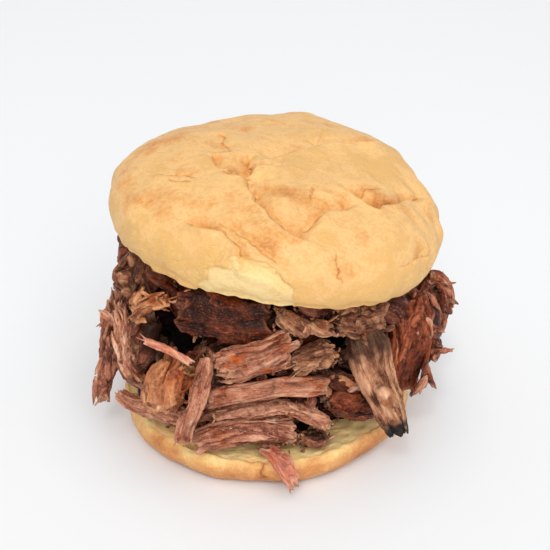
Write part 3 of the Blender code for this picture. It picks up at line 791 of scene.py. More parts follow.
# the folds in the top bun's skin, each along a line of points; depth is the groove's, broad the
# trough's, step how far one side stands above the other, and lip the small rise beside the groove
crownFolds = {
    "leftCrease": dict(line=[(-40, -11, 25), (-37, -13, 26), (-31, -16, 27), (-27, -20, 28)], depth=0.5,
        step=0.9, lip=0.2, shows=0.9),
    "leftShort": dict(line=[(-36, -17, 26), (-33, -20, 26), (-28, -21, 27)], depth=0.3, step=0.5,
        shows=0.7),
    "backLeft": dict(line=[(-22, 15, 29), (-18, 5, 30), (-16, -3, 30)], depth=0.5, broad=0.6, step=-1.0,
        shows=0.8),
    "puckerLeft": dict(line=[(-23, -4, 30), (-22, -9, 30), (-19, -14, 30)], depth=1.2, broad=0.8,
        step=2.0, lip=0.4),
    "puckerRight": dict(line=[(-12, -3, 31), (-10, -9, 31), (-11, -15, 31), (-14, -18, 30)], depth=2.0,
        broad=1.2, step=-2.0, lip=0.5),
    "puckerShort": dict(line=[(-9, -11, 31), (-5, -8, 31), (0, -9, 31)], depth=1.5, broad=0.8, step=1.6,
        lip=0.4),
    "puckerLow": dict(line=[(-20, -14, 30), (-15, -18, 30), (-9, -19, 30)], depth=0.6, step=0.9, lip=0.2),
    "topFold": dict(line=[(-6, -4, 31), (0, 1, 31), (6, 5, 31), (14, 9, 31)], depth=0.7, broad=0.6,
        step=1.8, shows=0.7),
    "longFold": dict(line=[(-13, -18, 30), (-9, -25, 29), (-7, -34, 28), (-2, -40, 27), (8, -46, 25)],
        depth=1.0, broad=1.2, step=2.5, lip=0.4, fade=0.1),
    "besideLong": dict(line=[(-5, -21, 30), (2, -29, 29), (6, -36, 27), (13, -41, 25)], depth=0.2,
        groove=1.8, broad=0.3, step=0.6, fade=0.3, shows=0.1),
    "backFold": dict(line=[(8, 14, 31), (11, 10, 31), (18, 13, 30), (24, 15, 29), (34, 21, 27)],
        depth=1.1, broad=0.8, step=2.4, lip=0.4),
    "rightFold": dict(line=[(18, -17, 29), (24, -22, 28), (30, -23, 26), (35, -19, 25), (40, -11, 24),
        (49, 2, 20)], depth=1.4, broad=1.2, step=2.8, lip=0.5, fade=0.15),
    "rightSmall": dict(line=[(24, -22, 28), (27, -15, 28), (33, -10, 26)], depth=0.3, step=0.7,
        shows=0.6),
    "shortFold": dict(line=[(23, -25, 27), (16, -30, 28), (12, -35, 27), (6, -42, 26)], depth=0.8,
        broad=0.9, step=-2.0, lip=0.4, shows=0.8),
    "frontStep": dict(line=[(-30, -37, 22), (-22, -42, 23), (-18, -44, 23), (-15, -48, 21),
        (-10, -52, 18), (-4, -54, 14.5), (4, -55, 11)], depth=0.7, groove=1.2, broad=0.8, step=3.0,
        lip=0.6, fade=0.12),
    "frontRidge": dict(line=[(-20, -38, 25), (-14, -44, 24), (-6, -50, 21), (0, -53, 18), (8, -54, 14)],
        depth=0.3, groove=1.2, broad=0.3, step=1.5, lip=0.4, shows=0.5),
    "lowLeft": dict(line=[(-44, -22, 19), (-38, -32, 18), (-30, -40, 16)], depth=0.2, groove=1.8,
        broad=0.4, step=0.6, fade=0.3, shows=0.1),
    "crackMiddle": dict(line=[(17, -46, 23), (17, -50, 19), (19, -52, 15), (21, -52, 11)], depth=0.15,
        groove=0.8, jagged=1.0, fade=0.3, shows=0.6),
    "crackLeft": dict(line=[(8, -50, 21), (8, -53, 17)], depth=0.25, groove=0.8, jagged=1.0, fade=0.3,
        shows=0.5),
    "crackTop": dict(line=[(9, -20, 30), (8, -24, 29), (9, -28, 29)], depth=0.25, groove=0.8, jagged=1.0,
        fade=0.3, shows=0.5),
    "crackRight": dict(line=[(35, -42, 14), (42, -35, 14), (47, -28, 12), (52, -21, 10)], depth=0.4,
        groove=0.9, step=0.8, jagged=1.0, fade=0.2, shows=0.7),
    "crackLow": dict(line=[(35, -42, 13), (35, -43, 9)], depth=0.2, groove=0.8, jagged=1.0, fade=0.3,
        shows=0.5),
    "notchBack": dict(line=[(38, 30, 22), (44, 25, 20), (50, 16, 17)], depth=0.9, groove=1.4, broad=1.0,
        step=1.4, lip=0.3),
    "behindLeft": dict(line=[(-30, 26, 27), (-20, 34, 26), (-8, 36, 26)], depth=0.6, broad=0.8, step=1.5),
    "behindLow": dict(line=[(10, 44, 21), (20, 42, 20), (30, 38, 19)], depth=0.5, broad=0.6, step=-1.3),
}


def crownProfile(look, rows):
    # the half section as (share of the radius, height): a superellipse dome down to the widest
    # ring, a tucked-in side, a small round edge and the flat underside, at even steps
    power = 2 / look["roundness"]
    up = np.linspace(math.pi / 2 - 0.004, 0, 400)
    dome = np.stack([np.cos(up) ** power, look["widest"]
                     + (look["height"] - look["widest"]) * np.sin(up) ** power], 1)
    down = np.linspace(1, 0.12, 120)[1:]
    side = np.stack([1 - look["undercut"] / look["radius"] * (1 - down) ** look["roundness"],
                     down * look["widest"]], 1)
    edgeShare, edgeHeight = side[-1]
    turn = np.linspace(0, math.pi / 2, 24)[1:]
    edge = np.stack([edgeShare - edgeHeight / look["radius"] * (1 - np.cos(turn)),
                     edgeHeight * (1 - np.sin(turn))], 1)
    under = np.stack([np.linspace(edge[-1, 0], 0.01, 160)[1:], np.zeros(159)], 1)
    line = np.concatenate([dome, side, edge, under])
    weight = np.where(line[1:, 1] + line[:-1, 1] > 0.02, 1.0, 0.35)   # wider steps underneath
    return evenRows(line, (look["radius"], 1), weight, rows)[:2]


def foldDepth(points, folds, seed):
    # how far each fold presses in, with marks for its looks: the signed distance to the nearest
    # fold, how clearly its line shows, and how low or high a place lies beside it, for painted shade
    # in the trough on the low side and a painted highlight on the high side. Across a fold the skin
    # has a groove, a broad trough either side, and a step where one side laps over the other; all of
    # them fade towards the fold's two ends
    depth, seam, show, valleyShade, ridge = (np.zeros(len(points)) for mark in range(5))
    stray = 0.50 * waves(points, 5.5, seed) + 0.14 * waves(points, 1.8, seed + 1)
    jagged = 0.20 * waves(points, 1.3, seed + 2)
    for number, fold in enumerate(folds.values()):
        gap, side, share = nearLine(points, fold["line"])
        groove, drop = fold.get("groove", 1.1), fold.get("step", 0.0)
        signed = gap * side + stray + fold.get("jagged", 0.0) * jagged
        gap = np.abs(signed)
        fade = ease(np.minimum(share, 1 - share), -0.04, fold.get("fade", 0.22))
        fade = np.clip(fade * (1 + 0.22 * waves(points, 6.0, seed + 7 + number)), 0, 1.3)
        narrow = fold["depth"] * hill(gap / groove)
        broad = fold.get("broad", 0.0) * hill(gap / 5.0)
        step = drop * 0.5 * np.tanh(signed / (0.9 * groove)) * hill(gap / 6.5)
        lip = fold.get("lip", 0.0) * hill((gap - 2.0 * groove) / (1.2 * groove))
        depth += fade * (narrow + broad - step - lip)
        shown = np.clip(fade, 0, 1) * hill(gap / 1.7) * fold.get("shows", 1.0)
        closer = shown > show
        seam, show = np.where(closer, signed, seam), np.where(closer, shown, show)
        turned = np.sign(drop) * np.tanh(signed / groove)
        valleyShade = np.maximum(valleyShade, fade * hill(gap / 3.4) * (1 - turned) / 2 * min(1, abs(drop)))
        ridge = np.maximum(ridge, fade * hill(gap / 2.4) * (1 + turned) / 2 * min(1, abs(drop)))
    return depth, seam, show, valleyShade, ridge


def bellsAt(points, spots):
    # the sum, over the spots, of an amount times a bell of the distance over the spot's size
    return sum(most * hill(np.linalg.norm(points - np.array(at), axis=1) / size)
               for at, size, most in spots.values())


def makeCrown():
    # the top bun: the half section carried round a slightly uneven outline, sagging by sines of
    # the azimuth times the radius share squared, then moved along its normals by waves, humps,
    # folds and the torn patch, tilted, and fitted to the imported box
    look = crownLook
    azimuth = np.linspace(0, fullTurn, look["around"], endpoint=False)
    share, height = crownProfile(look, look["rows"])
    outline = look["radius"] * (1 - 0.011 * np.sin(2 * azimuth) - 0.010 * np.cos(3 * azimuth))
    sag = (-1.8 * np.cos(2 * azimuth) + 1.9 * np.sin(2 * azimuth)
           - 0.9 * np.cos(3 * azimuth) + 0.2 * np.sin(3 * azimuth))
    radius = share[:, None] * outline
    level = height[:, None] + share[:, None] ** 2 * sag
    grid = np.stack([radius * np.cos(azimuth), radius * np.sin(azimuth), level], -1)[::-1]
    flat = grid.reshape(-1, 3)
    upright = np.repeat(height[::-1], look["around"])      # height in the plain section

    top = np.array(look["patchTop"])
    ragged = flat[:, 2] + 0.45 * waves(flat, 3.0, 31) + 0.15 * waves(flat, 0.9, 32)
    under = np.interp(flat[:, 0] + 0.6 * waves(flat, 2.5, 33), top[:, 0], top[:, 1], left=-9, right=-9)
    front = (flat[:, 1] < -30) & (upright < 26)
    patch = np.where(front, ease(under - ragged, -0.2, 0.7), 0)
    edgeOfPatch = np.where(front, hill((under - ragged + 0.9) / 0.8), 0)

    dent, seam, seamShow, valleyShade, ridge = foldDepth(flat, crownFolds, 50)
    rise = sum(most * waves(flat, size, 60 + int(size)) for size, most in look["lumps"])
    crust = ease(upright, 0.3, 2.5)
    underFace = 1 - ease(upright, 0.02, 0.5)
    rise += bellsAt(flat, look["humps"])
    rise = rise * (0.25 + 0.75 * crust) - dent * crust
    rise += 0.35 * edgeOfPatch - 0.65 * patch
    lowRim = hill((upright - 1.5) / 2.5)
    rise += lowRim * (0.5 * waves(flat, 7, 70) + 0.25 * waves(flat, 2.5, 71))
    rise -= 0.35 * underFace * np.clip(waves(flat, 0.9, 72) - 0.9, 0, 1)   # pits in the crumb
    rise += 0.5 * ease(flat[:, 0], 34, 48) * ease(upright, 5, 11) * waves(flat, 4.5, 73)
    flat = flat + gridNormals(grid).reshape(-1, 3) * rise[:, None]

    brown = 0.50 + 0.06 * waves(flat, 15, 80) + 0.04 * waves(flat, 6, 81) + 0.02 * waves(flat, 2, 82)
    brown += bellsAt(flat, look["browned"])
    brown -= 0.34 * (1 - ease(upright, 6, 20)) * (1 + 0.20 * waves(flat, 8, 83))
    # painted shade: browner in the trough on the low side of each fold step; painted highlight: paler on
    # its high side
    brown += 0.18 * valleyShade - 0.14 * ridge + 0.08 * edgeOfPatch
    brown = np.clip(brown, 0.27, 0.98)
    brown += patch * (0.03 + 0.04 * waves(flat, 5, 84) - brown)

    turnX, turnY = (math.radians(angle) for angle in look["tilt"])
    aboutX = np.array([[1, 0, 0], [0, math.cos(turnX), -math.sin(turnX)],
                       [0, math.sin(turnX), math.cos(turnX)]])
    aboutY = np.array([[math.cos(turnY), 0, math.sin(turnY)], [0, 1, 0],
                       [-math.sin(turnY), 0, math.cos(turnY)]])
    flat = flat @ (aboutY @ aboutX).T
    low, high = nodeBox("crown")
    middle = (flat.min(0) + flat.max(0)) / 2
    flat = (flat - middle) * (high - low) / (flat.max(0) - flat.min(0)) + (low + high) / 2
    rings = flat.reshape(grid.shape)
    shape = tubeShape(rings, [rings[0].mean(0), rings[-1].mean(0)], brown=brown, crumb=underFace,
                      stain=0.0, seam=seam, seamShow=seamShow * crust * (1 - patch))
    crown = makeObject("topBun", shape, breadFinish("crownCrust", crownBread))
    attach(crown, "root")
    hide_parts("crown")
    print("bun: top made")


heelLook = {
    "base": 0.82, "widest": 8.0, "rim": 11.4, "rimRound": 1.5, "dome": 0.5,
    "around": 420, "rows": 190,
    "peel": (-122, -92),       # where the crust peels off at the side, in degrees of azimuth
    "offset": 0.028,           # how far the outline stands off its middle, as a share of the radius
}
heelBread = {
    "crust": [(0.0, (248, 214, 146)), (0.25, (232, 182, 116)), (0.50, (214, 150, 90)),
              (0.75, (190, 122, 66)), (1.0, (146, 86, 42))],
    "crumb": ((255, 210, 140), (255, 226, 164)), "stain": (244, 184, 112),
    "pore": 1000.0, "mottle": 220.0, "wrinkle": 260.0, "roughness": 0.55, "bump": 0.40, "seamWide": 0.8,
    "through": 0.5, "throughDepth": 0.005,
}


def makeHeel():
    # the lower bun: a flat bottom, a quarter-round lower side, a wall drawn in by a power at the
    # rim, and the cut face, carried round an outline of sines, then moved along its normals by
    # waves, the peeled strip with its seam, and the pits in the cut face
    look = heelLook
    low, high = nodeBox("lower_bun")
    size = (high - low) / 2
    azimuth = np.linspace(0, fullTurn, look["around"], endpoint=False)
    outline = 1 + 0.006 * np.cos(2 * azimuth) + 0.005 * np.sin(3 * azimuth + 0.6)
    outline = (size[0] + size[1]) / 2 * (outline + look["offset"] * np.sin(azimuth))
    radius = outline.mean()
    turn = np.linspace(0, math.pi / 2, 60)
    lower = np.stack([look["base"] + (1 - look["base"]) * np.sin(turn),
                      look["widest"] * (1 - np.cos(turn))], 1)
    rise = np.linspace(0, 1, 30)[1:]
    side = np.stack([1 - look["rimRound"] / radius * rise ** 2.4,
                     look["widest"] + rise * (look["rim"] - look["widest"])], 1)
    bottom = np.stack([np.linspace(0.01, look["base"], 90)[:-1], np.zeros(89)], 1)
    face = np.stack([np.linspace(side[-1, 0], 0.01, 300)[1:], np.full(299, look["rim"])], 1)
    line = np.concatenate([bottom, lower, side, face])
    rim = len(bottom) + len(lower) + len(side) - 1      # the step at which the cut face begins
    steps = np.arange(len(line) - 1)
    weight = np.where(steps < len(bottom), 0.3, np.where((steps >= rim) & (line[1:, 0] < 0.6), 0.4, 1.0))
    share, height, place, run = evenRows(line, (radius, 1), weight, look["rows"])
    cut = np.repeat(ease(place, run[rim] - 0.1, run[rim] + 0.9), look["around"])   # 1 on the cut face
    ring = share[:, None] * outline
    grid = np.stack([ring * np.cos(azimuth), ring * np.sin(azimuth), height[:, None] + 0 * ring], -1)
    flat = grid.reshape(-1, 3)
    out = np.repeat(share, look["around"])
    flatBase = 1 - ease(flat[:, 2], 0.0, 1.0)

    angle = np.degrees(np.arctan2(flat[:, 1], flat[:, 0]))
    angle = angle + (1.1 * waves(flat, 4.0, 101) + 0.5 * waves(flat, 1.4, 102))     # ragged
    peelFrom, peelTo = look["peel"]
    peel = ease(angle, peelFrom - 2, peelFrom + 4) * (1 - ease(angle, peelTo - 2, peelTo + 1))
    peel *= ease(flat[:, 2], 4.5, 8.5) * ease(out, 0.9, 0.96)
    move = (1 - flatBase) * (1 - cut) * (0.35 * waves(flat, 12, 103) + 0.10 * waves(flat, 4, 104))
    seam = hill((angle - peelTo) / 1.6) * ease(flat[:, 2], 2.0, 7.5) * (1 - cut)
    move += 0.7 * peel * (1 - cut) - 0.9 * seam
    rimBand = hill((out - 0.968) / 0.018) * ease(flat[:, 2], 8, 11)
    move += rimBand * (0.30 * waves(flat, 5.0, 105) + 0.22 * waves(flat, 1.8, 106))
    pits = np.clip(waves(flat, 1.0, 107) - 0.8, 0, 1.2) * ease(waves(flat, 7, 108), -0.6, 0.8)
    waver = 0.28 * waves(flat, 6.0, 109) + 0.12 * waves(flat, 2.0, 110) - 0.55 * pits
    move += cut * (waver - 0.15)
    flat = flat + gridNormals(grid).reshape(-1, 3) * move[:, None]
    flat[:, 2] = np.maximum(flat[:, 2], 0)
    flat[:, 2] += cut * look["dome"] * (1 - out ** 2)
    slide = (high + low) / 2 - np.array([0, look["offset"] * radius, 0])
    flat[:, :2] += slide[:2]

    brown = 0.60 + 0.10 * waves(flat, 14, 111) + 0.05 * waves(flat, 4, 112)
    # the seam term is painted shade: the crust is browner in the groove of the peel seam
    brown += 0.14 * (1 - ease(flat[:, 2], 2, 7)) - 0.28 * ease(flat[:, 2], 8.0, 11.2) + 0.25 * seam
    brown -= 0.12 * ease(waves(flat, 9, 113), 0.4, 1.5)
    reach = outsideHeap(flat) + 1.8 * waves(flat, 5, 114) + 0.8 * waves(flat, 1.6, 115)
    stain = 1 - ease(reach, -1.0, 4.5)
    # juice stain near the heap, painted shade in the pits, and a few random blotches
    stain = np.clip(0.4 * stain + 0.18 * pits + 0.10 * ease(waves(flat, 4, 116), 0.9, 1.8), 0, 1)
    rings = flat.reshape(grid.shape)
    shape = tubeShape(rings, [(slide[0], slide[1], 0), rings[-1].mean(0)], brown=np.clip(brown, 0.02, 0.98),
                      crumb=cut, stain=stain * cut, seam=0.9 * (angle - peelTo), seamShow=0.6 * seam)
    heel = makeObject("lowerBun", shape, breadFinish("lowerBunCrust", heelBread))
    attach(heel, "root")
    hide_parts("lower_bun")
    print("bun: lower half made")


# what a piece of meat is like unless its own entry says otherwise: sizes in millimetres, tones
# and shares from 0 to 1, twist in degrees, drift in turns
pieceLook = dict(starts="left", kind="lean", step=0.36, around=76, square=0.62, body=0.92, twist=0,
    ridge=0.5, ridgeSize=2.2, fibre=16, plate=0.25, fine=0.13, vary=0.26, stray=0.5, lump=0.3,
    lumpSize=4.5, uneven=0.07, wander=0.3, torn=1.2, tornZone=5.0, breakSize=1.5, pale=1.5, tone=0.5,
    toneSpread=0.13, strands=4, strandWide=(1.2, 2.4), strandFlat=(0.3, 0.5), strandAround=24, taper=0.55,
    splay=0.9, drift=0.1, flare=0.12, hairs=3, hairLength=(2.0, 5.0), strand=dict(ridge=0.26,
    ridgeSize=1.4, plate=0.14, lump=0.16, lumpSize=3.0, torn=1.1, tornZone=3.0, breakSize=0.9))
pieceLooks = {
    "upright_strip": dict(starts="top", twist=30, strands=1, strandWide=(1.0, 1.6), ridge=0.32, fibre=24,
        lump=0.18, tone=0.56, vary=0.2, square=0.5, splay=0.3),
    "long_bar": dict(strands=1, strandWide=(1.0, 1.5), square=0.42, ridge=0.24, ridgeSize=2.6, fibre=26,
        plate=0.12, lump=0.15, uneven=0.04, tone=0.6, vary=0.2, splay=0.3, pale=3.6, body=1.0, hairs=4),
    "lower_fan": dict(strands=5, strandWide=(1.5, 2.8), ridge=0.75, ridgeSize=2.6, fibre=28, lump=0.35,
        tone=0.5, splay=1.3, pale=2.4, drift=0.16, flare=0.3),
    "upper_fan": dict(strands=4, strandWide=(1.3, 2.2), ridge=0.5, fibre=24, tone=0.46, splay=1.5,
        drift=0.2, flare=0.3),
    "hanging_strip": dict(starts="top", kind="pink", strands=1, strandWide=(1.2, 1.8), ridge=0.34,
        ridgeSize=2.4, fibre=26, plate=0.1, fine=0.06, lump=0.15, tone=0.42, splay=0.3, pale=3.2,
        torn=2.0, breakSize=0.8, square=0.5, hairs=9, hairLength=(1.5, 3.5)),
    "charred_plank": dict(starts="top", kind="bark", strands=4, strandWide=(1.6, 3.2),
        strandFlat=(0.22, 0.36), square=0.5, ridge=0.6, ridgeSize=2.3, fibre=22, plate=0.4, tone=0.58,
        vary=0.3, splay=0.4, drift=0.05, char=0.9, dark=0.3, tanSide=-1, tornZone=6, torn=1.6),
    "sauced_slab": dict(starts="top", kind="sauced", strands=6, strandWide=(1.2, 3.0),
        strandFlat=(0.2, 0.35), ridge=0.55, ridgeSize=3.2, fibre=14, lump=0.8, lumpSize=6.0, tone=0.42,
        hairs=8, around=110, flare=0.25, square=0.5, drift=0.16, splay=1.2),
    "top_loop": dict(starts="back", strands=3, strandWide=(0.9, 1.5), tone=0.28, splay=0.6,
        ridgeSize=1.6),
    "dark_knob": dict(starts="top", kind="bark", strands=7, strandWide=(1.6, 3.4), strandFlat=(0.4, 0.6),
        ridge=1.1, ridgeSize=2.8, fibre=6, plate=0.7, lump=1.1, tone=0.3, splay=1.8, drift=0.3, twist=60,
        hairs=6, body=0.85),
    "fat_tuft": dict(kind="fat", strands=7, strandWide=(0.6, 1.2), tone=0.5, splay=1.8, ridge=0.6,
        ridgeSize=1.6, fibre=9, lump=0.5, hairs=6, body=0.7),
    "outer_strand": dict(starts="top", strands=6, strandWide=(1.1, 2.1), tone=0.32, splay=1.9, lump=0.6,
        hairs=7, toneSpread=0.2, body=0.62, wander=0.8, drift=0.2),
    "inner_strand": dict(starts="top", strands=4, strandWide=(1.0, 1.9), tone=0.52, splay=1.0, fibre=20,
        body=0.75, hairs=3),
    "thin_shred": dict(kind="pink", strands=2, strandWide=(0.4, 0.7), tone=0.7, splay=0.3, around=40,
        ridge=0.2, ridgeSize=1.2, plate=0.08, fine=0.05, lump=0.15, torn=1.4, hairs=2),
    # its low tone darkens it partly as painted shade under the top bun and partly as darker sauce
    "dark_slab": dict(kind="sauced", strands=6, strandWide=(1.2, 3.0), strandFlat=(0.2, 0.4), ridge=0.6,
        ridgeSize=2.8, fibre=13, lump=0.6, tone=0.09, splay=0.6, around=110, flare=0.3, square=0.5,
        drift=0.2, vary=0.2, toneSpread=0.06),
    "curled_chunk": dict(starts="top", kind="fat", strands=7, strandWide=(2.0, 3.6),
        strandFlat=(0.3, 0.45), ridge=1.0, ridgeSize=2.6, fibre=9, plate=0.7, lump=1.0, tone=0.4,
        splay=1.5, drift=0.28, twist=60, body=0.85),
    "left_ledge": dict(strands=4, strandWide=(1.2, 2.0), tone=0.42, ridge=0.6, fibre=20),
    "upper_layer": dict(strands=4, strandWide=(1.6, 3.0), strandFlat=(0.26, 0.4), ridge=0.5,
        ridgeSize=2.6, fibre=13, plate=0.55, tone=0.58, pale=2.8, square=0.5, torn=1.6, breakSize=1.8,
        glaze=0.3, glazeSize=3.0),
    "lower_layer": dict(strands=3, strandWide=(1.3, 2.2), strandFlat=(0.26, 0.4), ridge=0.45, fibre=10,
        plate=0.5, tone=0.62, square=0.5, torn=1.6, pale=2.4, glaze=0.62, glazeSize=3.4),
    "rough_chunk": dict(kind="bark", strands=5, strandWide=(1.2, 2.4), ridge=0.9, fibre=7, plate=0.6,
        lump=0.7, tone=0.55, splay=1.3, body=0.85),
    "left_flake": dict(kind="bark", strands=1, strandWide=(1.0, 1.8), strandFlat=(0.2, 0.3), tone=0.55,
        ridge=0.16, plate=0.12, fine=0.07, lump=0.15, hairs=1, splay=0.2, around=56, torn=1.6,
        breakSize=2.0, fibre=9),
    "right_flake": dict(kind="bark", strands=1, strandWide=(1.0, 1.8), strandFlat=(0.2, 0.3), tone=0.62,
        ridge=0.16, plate=0.12, fine=0.07, lump=0.15, hairs=1, splay=0.2, around=56, torn=1.6,
        breakSize=2.0, fibre=9),
    "bark_chunk": dict(kind="bark", strands=5, strandWide=(1.4, 2.6), ridge=0.9, fibre=8, plate=0.6,
        lump=0.8, tone=0.42, splay=1.3, hairs=5),
    "right_ledge": dict(kind="sauced", strands=5, strandWide=(1.4, 2.8), ridge=0.9, fibre=9, plate=0.5,
        lump=0.9, tone=0.2, splay=1.3),
    "dark_tail": dict(kind="bark", strands=5, strandWide=(0.8, 1.5), ridge=0.6, tone=0.16, lump=0.5,
        fibre=8, splay=1.6, hairs=4, body=0.8),
}


def camelName(node):
    # lower_fan becomes lowerFan
    first, *rest = node.split("_")
    return first + "".join(word.capitalize() for word in rest)


def spotsOfPieces():
    # points along every larger piece, each with the piece's half width there
    at, half, ends, endHalf = [], [], [], []
    for node, look in pieceLooks.items():
        spine = spineOf(node, look.get("starts", pieceLook["starts"]))
        line, _ = smoothLine(spine["line"], 1.5)
        at.append(line)
        half.append(np.full(len(line), (spine["wide"].mean() + spine["thick"].mean()) / 2))
        ends += [line[0], line[-1]]
        endHalf += [spine["wide"].mean()] * 2
    return {"at": np.concatenate(at), "half": np.concatenate(half), "ends": np.array(ends),
            "endHalf": np.array(endHalf)}


def makePieces(finishes):
    # each larger piece as a bundle of strands along its own spine; char, dark, tan and glaze are
    # S-curves of the share of the way along it, or of the distance from a line or a place
    for number, (node, changes) in enumerate(pieceLooks.items()):
        look = {**pieceLook, **changes}
        spine = spineOf(node, look["starts"])
        shape = joinShapes(bundleShapes(spine, look, 300 + number))
        along = nearLine(shape["co"], spine["line"])[2] + 0.03 * waves(shape["co"], 1.5, 500 + number)
        if "char" in look:
            shape["char"] = ease(along, look["char"] - 0.05, look["char"] + 0.06)
        if "dark" in look:
            shade = 0.8 * (1 - ease(along, look["dark"] - 0.22, look["dark"] + 0.08))
            shape["deep"] = np.maximum(shape["deep"], shade)
        if "tanSide" in look:
            middle = (spine["line"][0] + spine["line"][-1]) / 2
            tangent = unit(spine["line"][-1] - spine["line"][0])
            across = unit(np.cross(spine["faces"], tangent))
            offSide = (shape["co"] - middle) @ across * look["tanSide"]
            shape["tan"] = ease(offSide + 1.2 * waves(shape["co"], 4, 520 + number), -0.5, 1.5)
            shape["tan"] *= (1 - ease(along, 0.72, 0.85)) * ease(along, 0.12, 0.35)
        if "glaze" in look:
            nearest = np.linalg.norm(shape["co"] - linePoint(spine["line"], look["glaze"])
                                     - spine["faces"] * spine["thick"].mean(), axis=1)
            nearest += 0.9 * waves(shape["co"], 1.6, 540)
            shape["glaze"] = 1 - ease(nearest, look["glazeSize"] * 0.45, look["glazeSize"])
        piece = makeObject(camelName(node), shape, finishes[look["kind"]])
        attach(piece, "root")
        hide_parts(node)
    print(f"meat: {len(pieceLooks)} larger pieces made")


# loose shreds on a larger piece: how many, their length and half width, how far aside of its
# middle line they start (in its half widths), and how widely they fan out
looseSets = {
    "outerShreds": dict(node="outer_strand", kind="lean", count=15, length=(5, 13), wide=(0.5, 1.3),
        aside=1.0, fan=0.25, tone=(0.2, 0.75)),
    "innerShreds": dict(node="inner_strand", kind="lean", count=9, length=(6, 16), wide=(0.5, 1.3),
        aside=1.3, fan=0.3, tone=(0.3, 0.75)),
    "knobLumps": dict(node="dark_knob", kind="bark", count=20, length=(4, 8), wide=(1.0, 2.2), aside=1.0,
        fan=1.3, tone=(0.1, 0.55)),
    "slabShreds": dict(node="sauced_slab", kind="lean", count=16, length=(5, 13), wide=(0.6, 1.6),
        aside=1.5, fan=0.6, tone=(0.2, 0.6), side=1),
    "loopShreds": dict(node="top_loop", kind="lean", count=10, length=(4, 9), wide=(0.5, 1.1), aside=1.2,
        fan=0.5, tone=(0.15, 0.55)),
    "fanShreds": dict(node="upper_fan", kind="lean", count=8, length=(4, 9), wide=(0.6, 1.3), aside=1.2,
        fan=0.6, tone=(0.3, 0.7), past=0.6),
    "chunkShreds": dict(node="bark_chunk", kind="bark", count=10, length=(4, 10), wide=(0.8, 1.8),
        aside=1.2, fan=1.0, tone=(0.2, 0.6)),
    "tuftShreds": dict(node="fat_tuft", kind="fat", count=10, length=(4, 9), wide=(0.5, 1.1), aside=1.4,
        fan=0.8, tone=(0.4, 0.8)),
}
looseStrand = {**pieceLook, **pieceLook["strand"], "fibre": 10, "lump": 0.3}


def makeLooseSets(finishes):
    # thin shreds and lumps that cling to a larger piece: each starts beside its middle line, runs
    # along it at a random slant, and bends
    for number, (name, look) in enumerate(looseSets.items()):
        chance = np.random.default_rng(700 + number)
        spine = spineOf(look["node"], pieceLooks[look["node"]].get("starts", pieceLook["starts"]))
        tangent = unit(np.gradient(spine["line"], axis=0))
        wide, thick = spine["wide"].mean(), spine["thick"].mean()
        shapes = []
        for item in range(look["count"]):
            share = chance.uniform(look.get("past", 0.0), 1)
            along = unit(linePoint(tangent, share))
            across = unit(np.cross(spine["faces"], along))
            aside = look.get("side", 0) * chance.uniform(0.4, 1.0) or chance.uniform(-1, 1)
            place = (linePoint(spine["line"], share) + across * aside * wide * look["aside"]
                     + spine["faces"] * thick * chance.uniform(0.0, 1.1))
            way = unit(along * np.sign(chance.uniform(-1, 1)) + chance.normal(size=3) * look["fan"])
            bend = unit(np.cross(way, chance.normal(size=3)))
            t = np.linspace(-0.5, 0.5, 7)[:, None]
            length = chance.uniform(*look["length"])
            bow = bend * t ** 2 * length * chance.uniform(0, 0.9)
            path, _ = smoothLine(place + way * t * length + bow, 0.7)
            half = chance.uniform(*look["wide"]) * (1 - 0.45 * np.abs(np.linspace(-1, 1, len(path))) ** 3)
            own = dict(looseStrand, tone=chance.uniform(*look["tone"]))
            shapes.append(strandShape(path, unit(spine["faces"] + chance.normal(size=3) * 0.4), half,
                                      half * chance.uniform(0.4, 0.8), own, chance, 12))
        shape = joinShapes(shapes)
        keepUnder(shape)
        piece = makeObject(name, shape, finishes[look["kind"]])
        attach(piece, "root")
        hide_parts(look["node"])
    print(f"meat: {len(looseSets)} sets of loose shreds made")


heapGrid = {
    "turns": 144, "levels": 36,            # how many azimuths and heights are read
    "inside": 45.0, "outside": 80.0,       # where the rays start: height in the heap, radius round it
    "farthest": 60.0, "blur": 16,          # how far they run, and how many azimuths blend together
}


def heapTables():
    # the heap's outline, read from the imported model: radius round its own axis by azimuth and
    # height share, the height of the underside of the top bun, and how hollow each place is
    look, turns = heapGrid, heapGrid["turns"]
    azimuth = np.linspace(0, fullTurn, turns, endpoint=False)
    ways = np.stack([np.cos(azimuth), np.sin(azimuth), 0 * azimuth], -1)
    axis = np.array([heapMiddle[0], heapMiddle[1], 0.0])
    rays = np.linspace(6, 50, 8)
    up = axis + rays[None, :, None] * ways[:, None, :] + np.array([0, 0, look["inside"]])
    roof = look["inside"] + castTable("crown", up, np.broadcast_to([0.0, 0, 1], up.shape), look["farthest"])
    floor = nodeBox("brisket_heap")[0][2]
    top = roof[:, -2] - 1.2
    share = np.linspace(0.01, 0.985, look["levels"])
    starts = axis + look["outside"] * ways[:, None, :] + np.zeros((1, look["levels"], 3))
    starts[..., 2] = floor + share * (top - floor)[:, None]
    inwards = np.broadcast_to(-ways[:, None, :], starts.shape)
    radius = look["outside"] - castTable("brisket_heap", starts, inwards, look["farthest"])
    kernel = hill(np.minimum(np.arange(turns), turns - np.arange(turns)) / look["blur"])
    kernel = np.fft.fft(kernel / kernel.sum())[:, None]
    blurred = np.fft.ifft(np.fft.fft(radius, axis=0) * kernel, axis=0).real
    return {"share": share, "radius": radius, "rays": rays, "roof": roof, "top": top, "floor": floor,
            "hollow": blurred - radius}


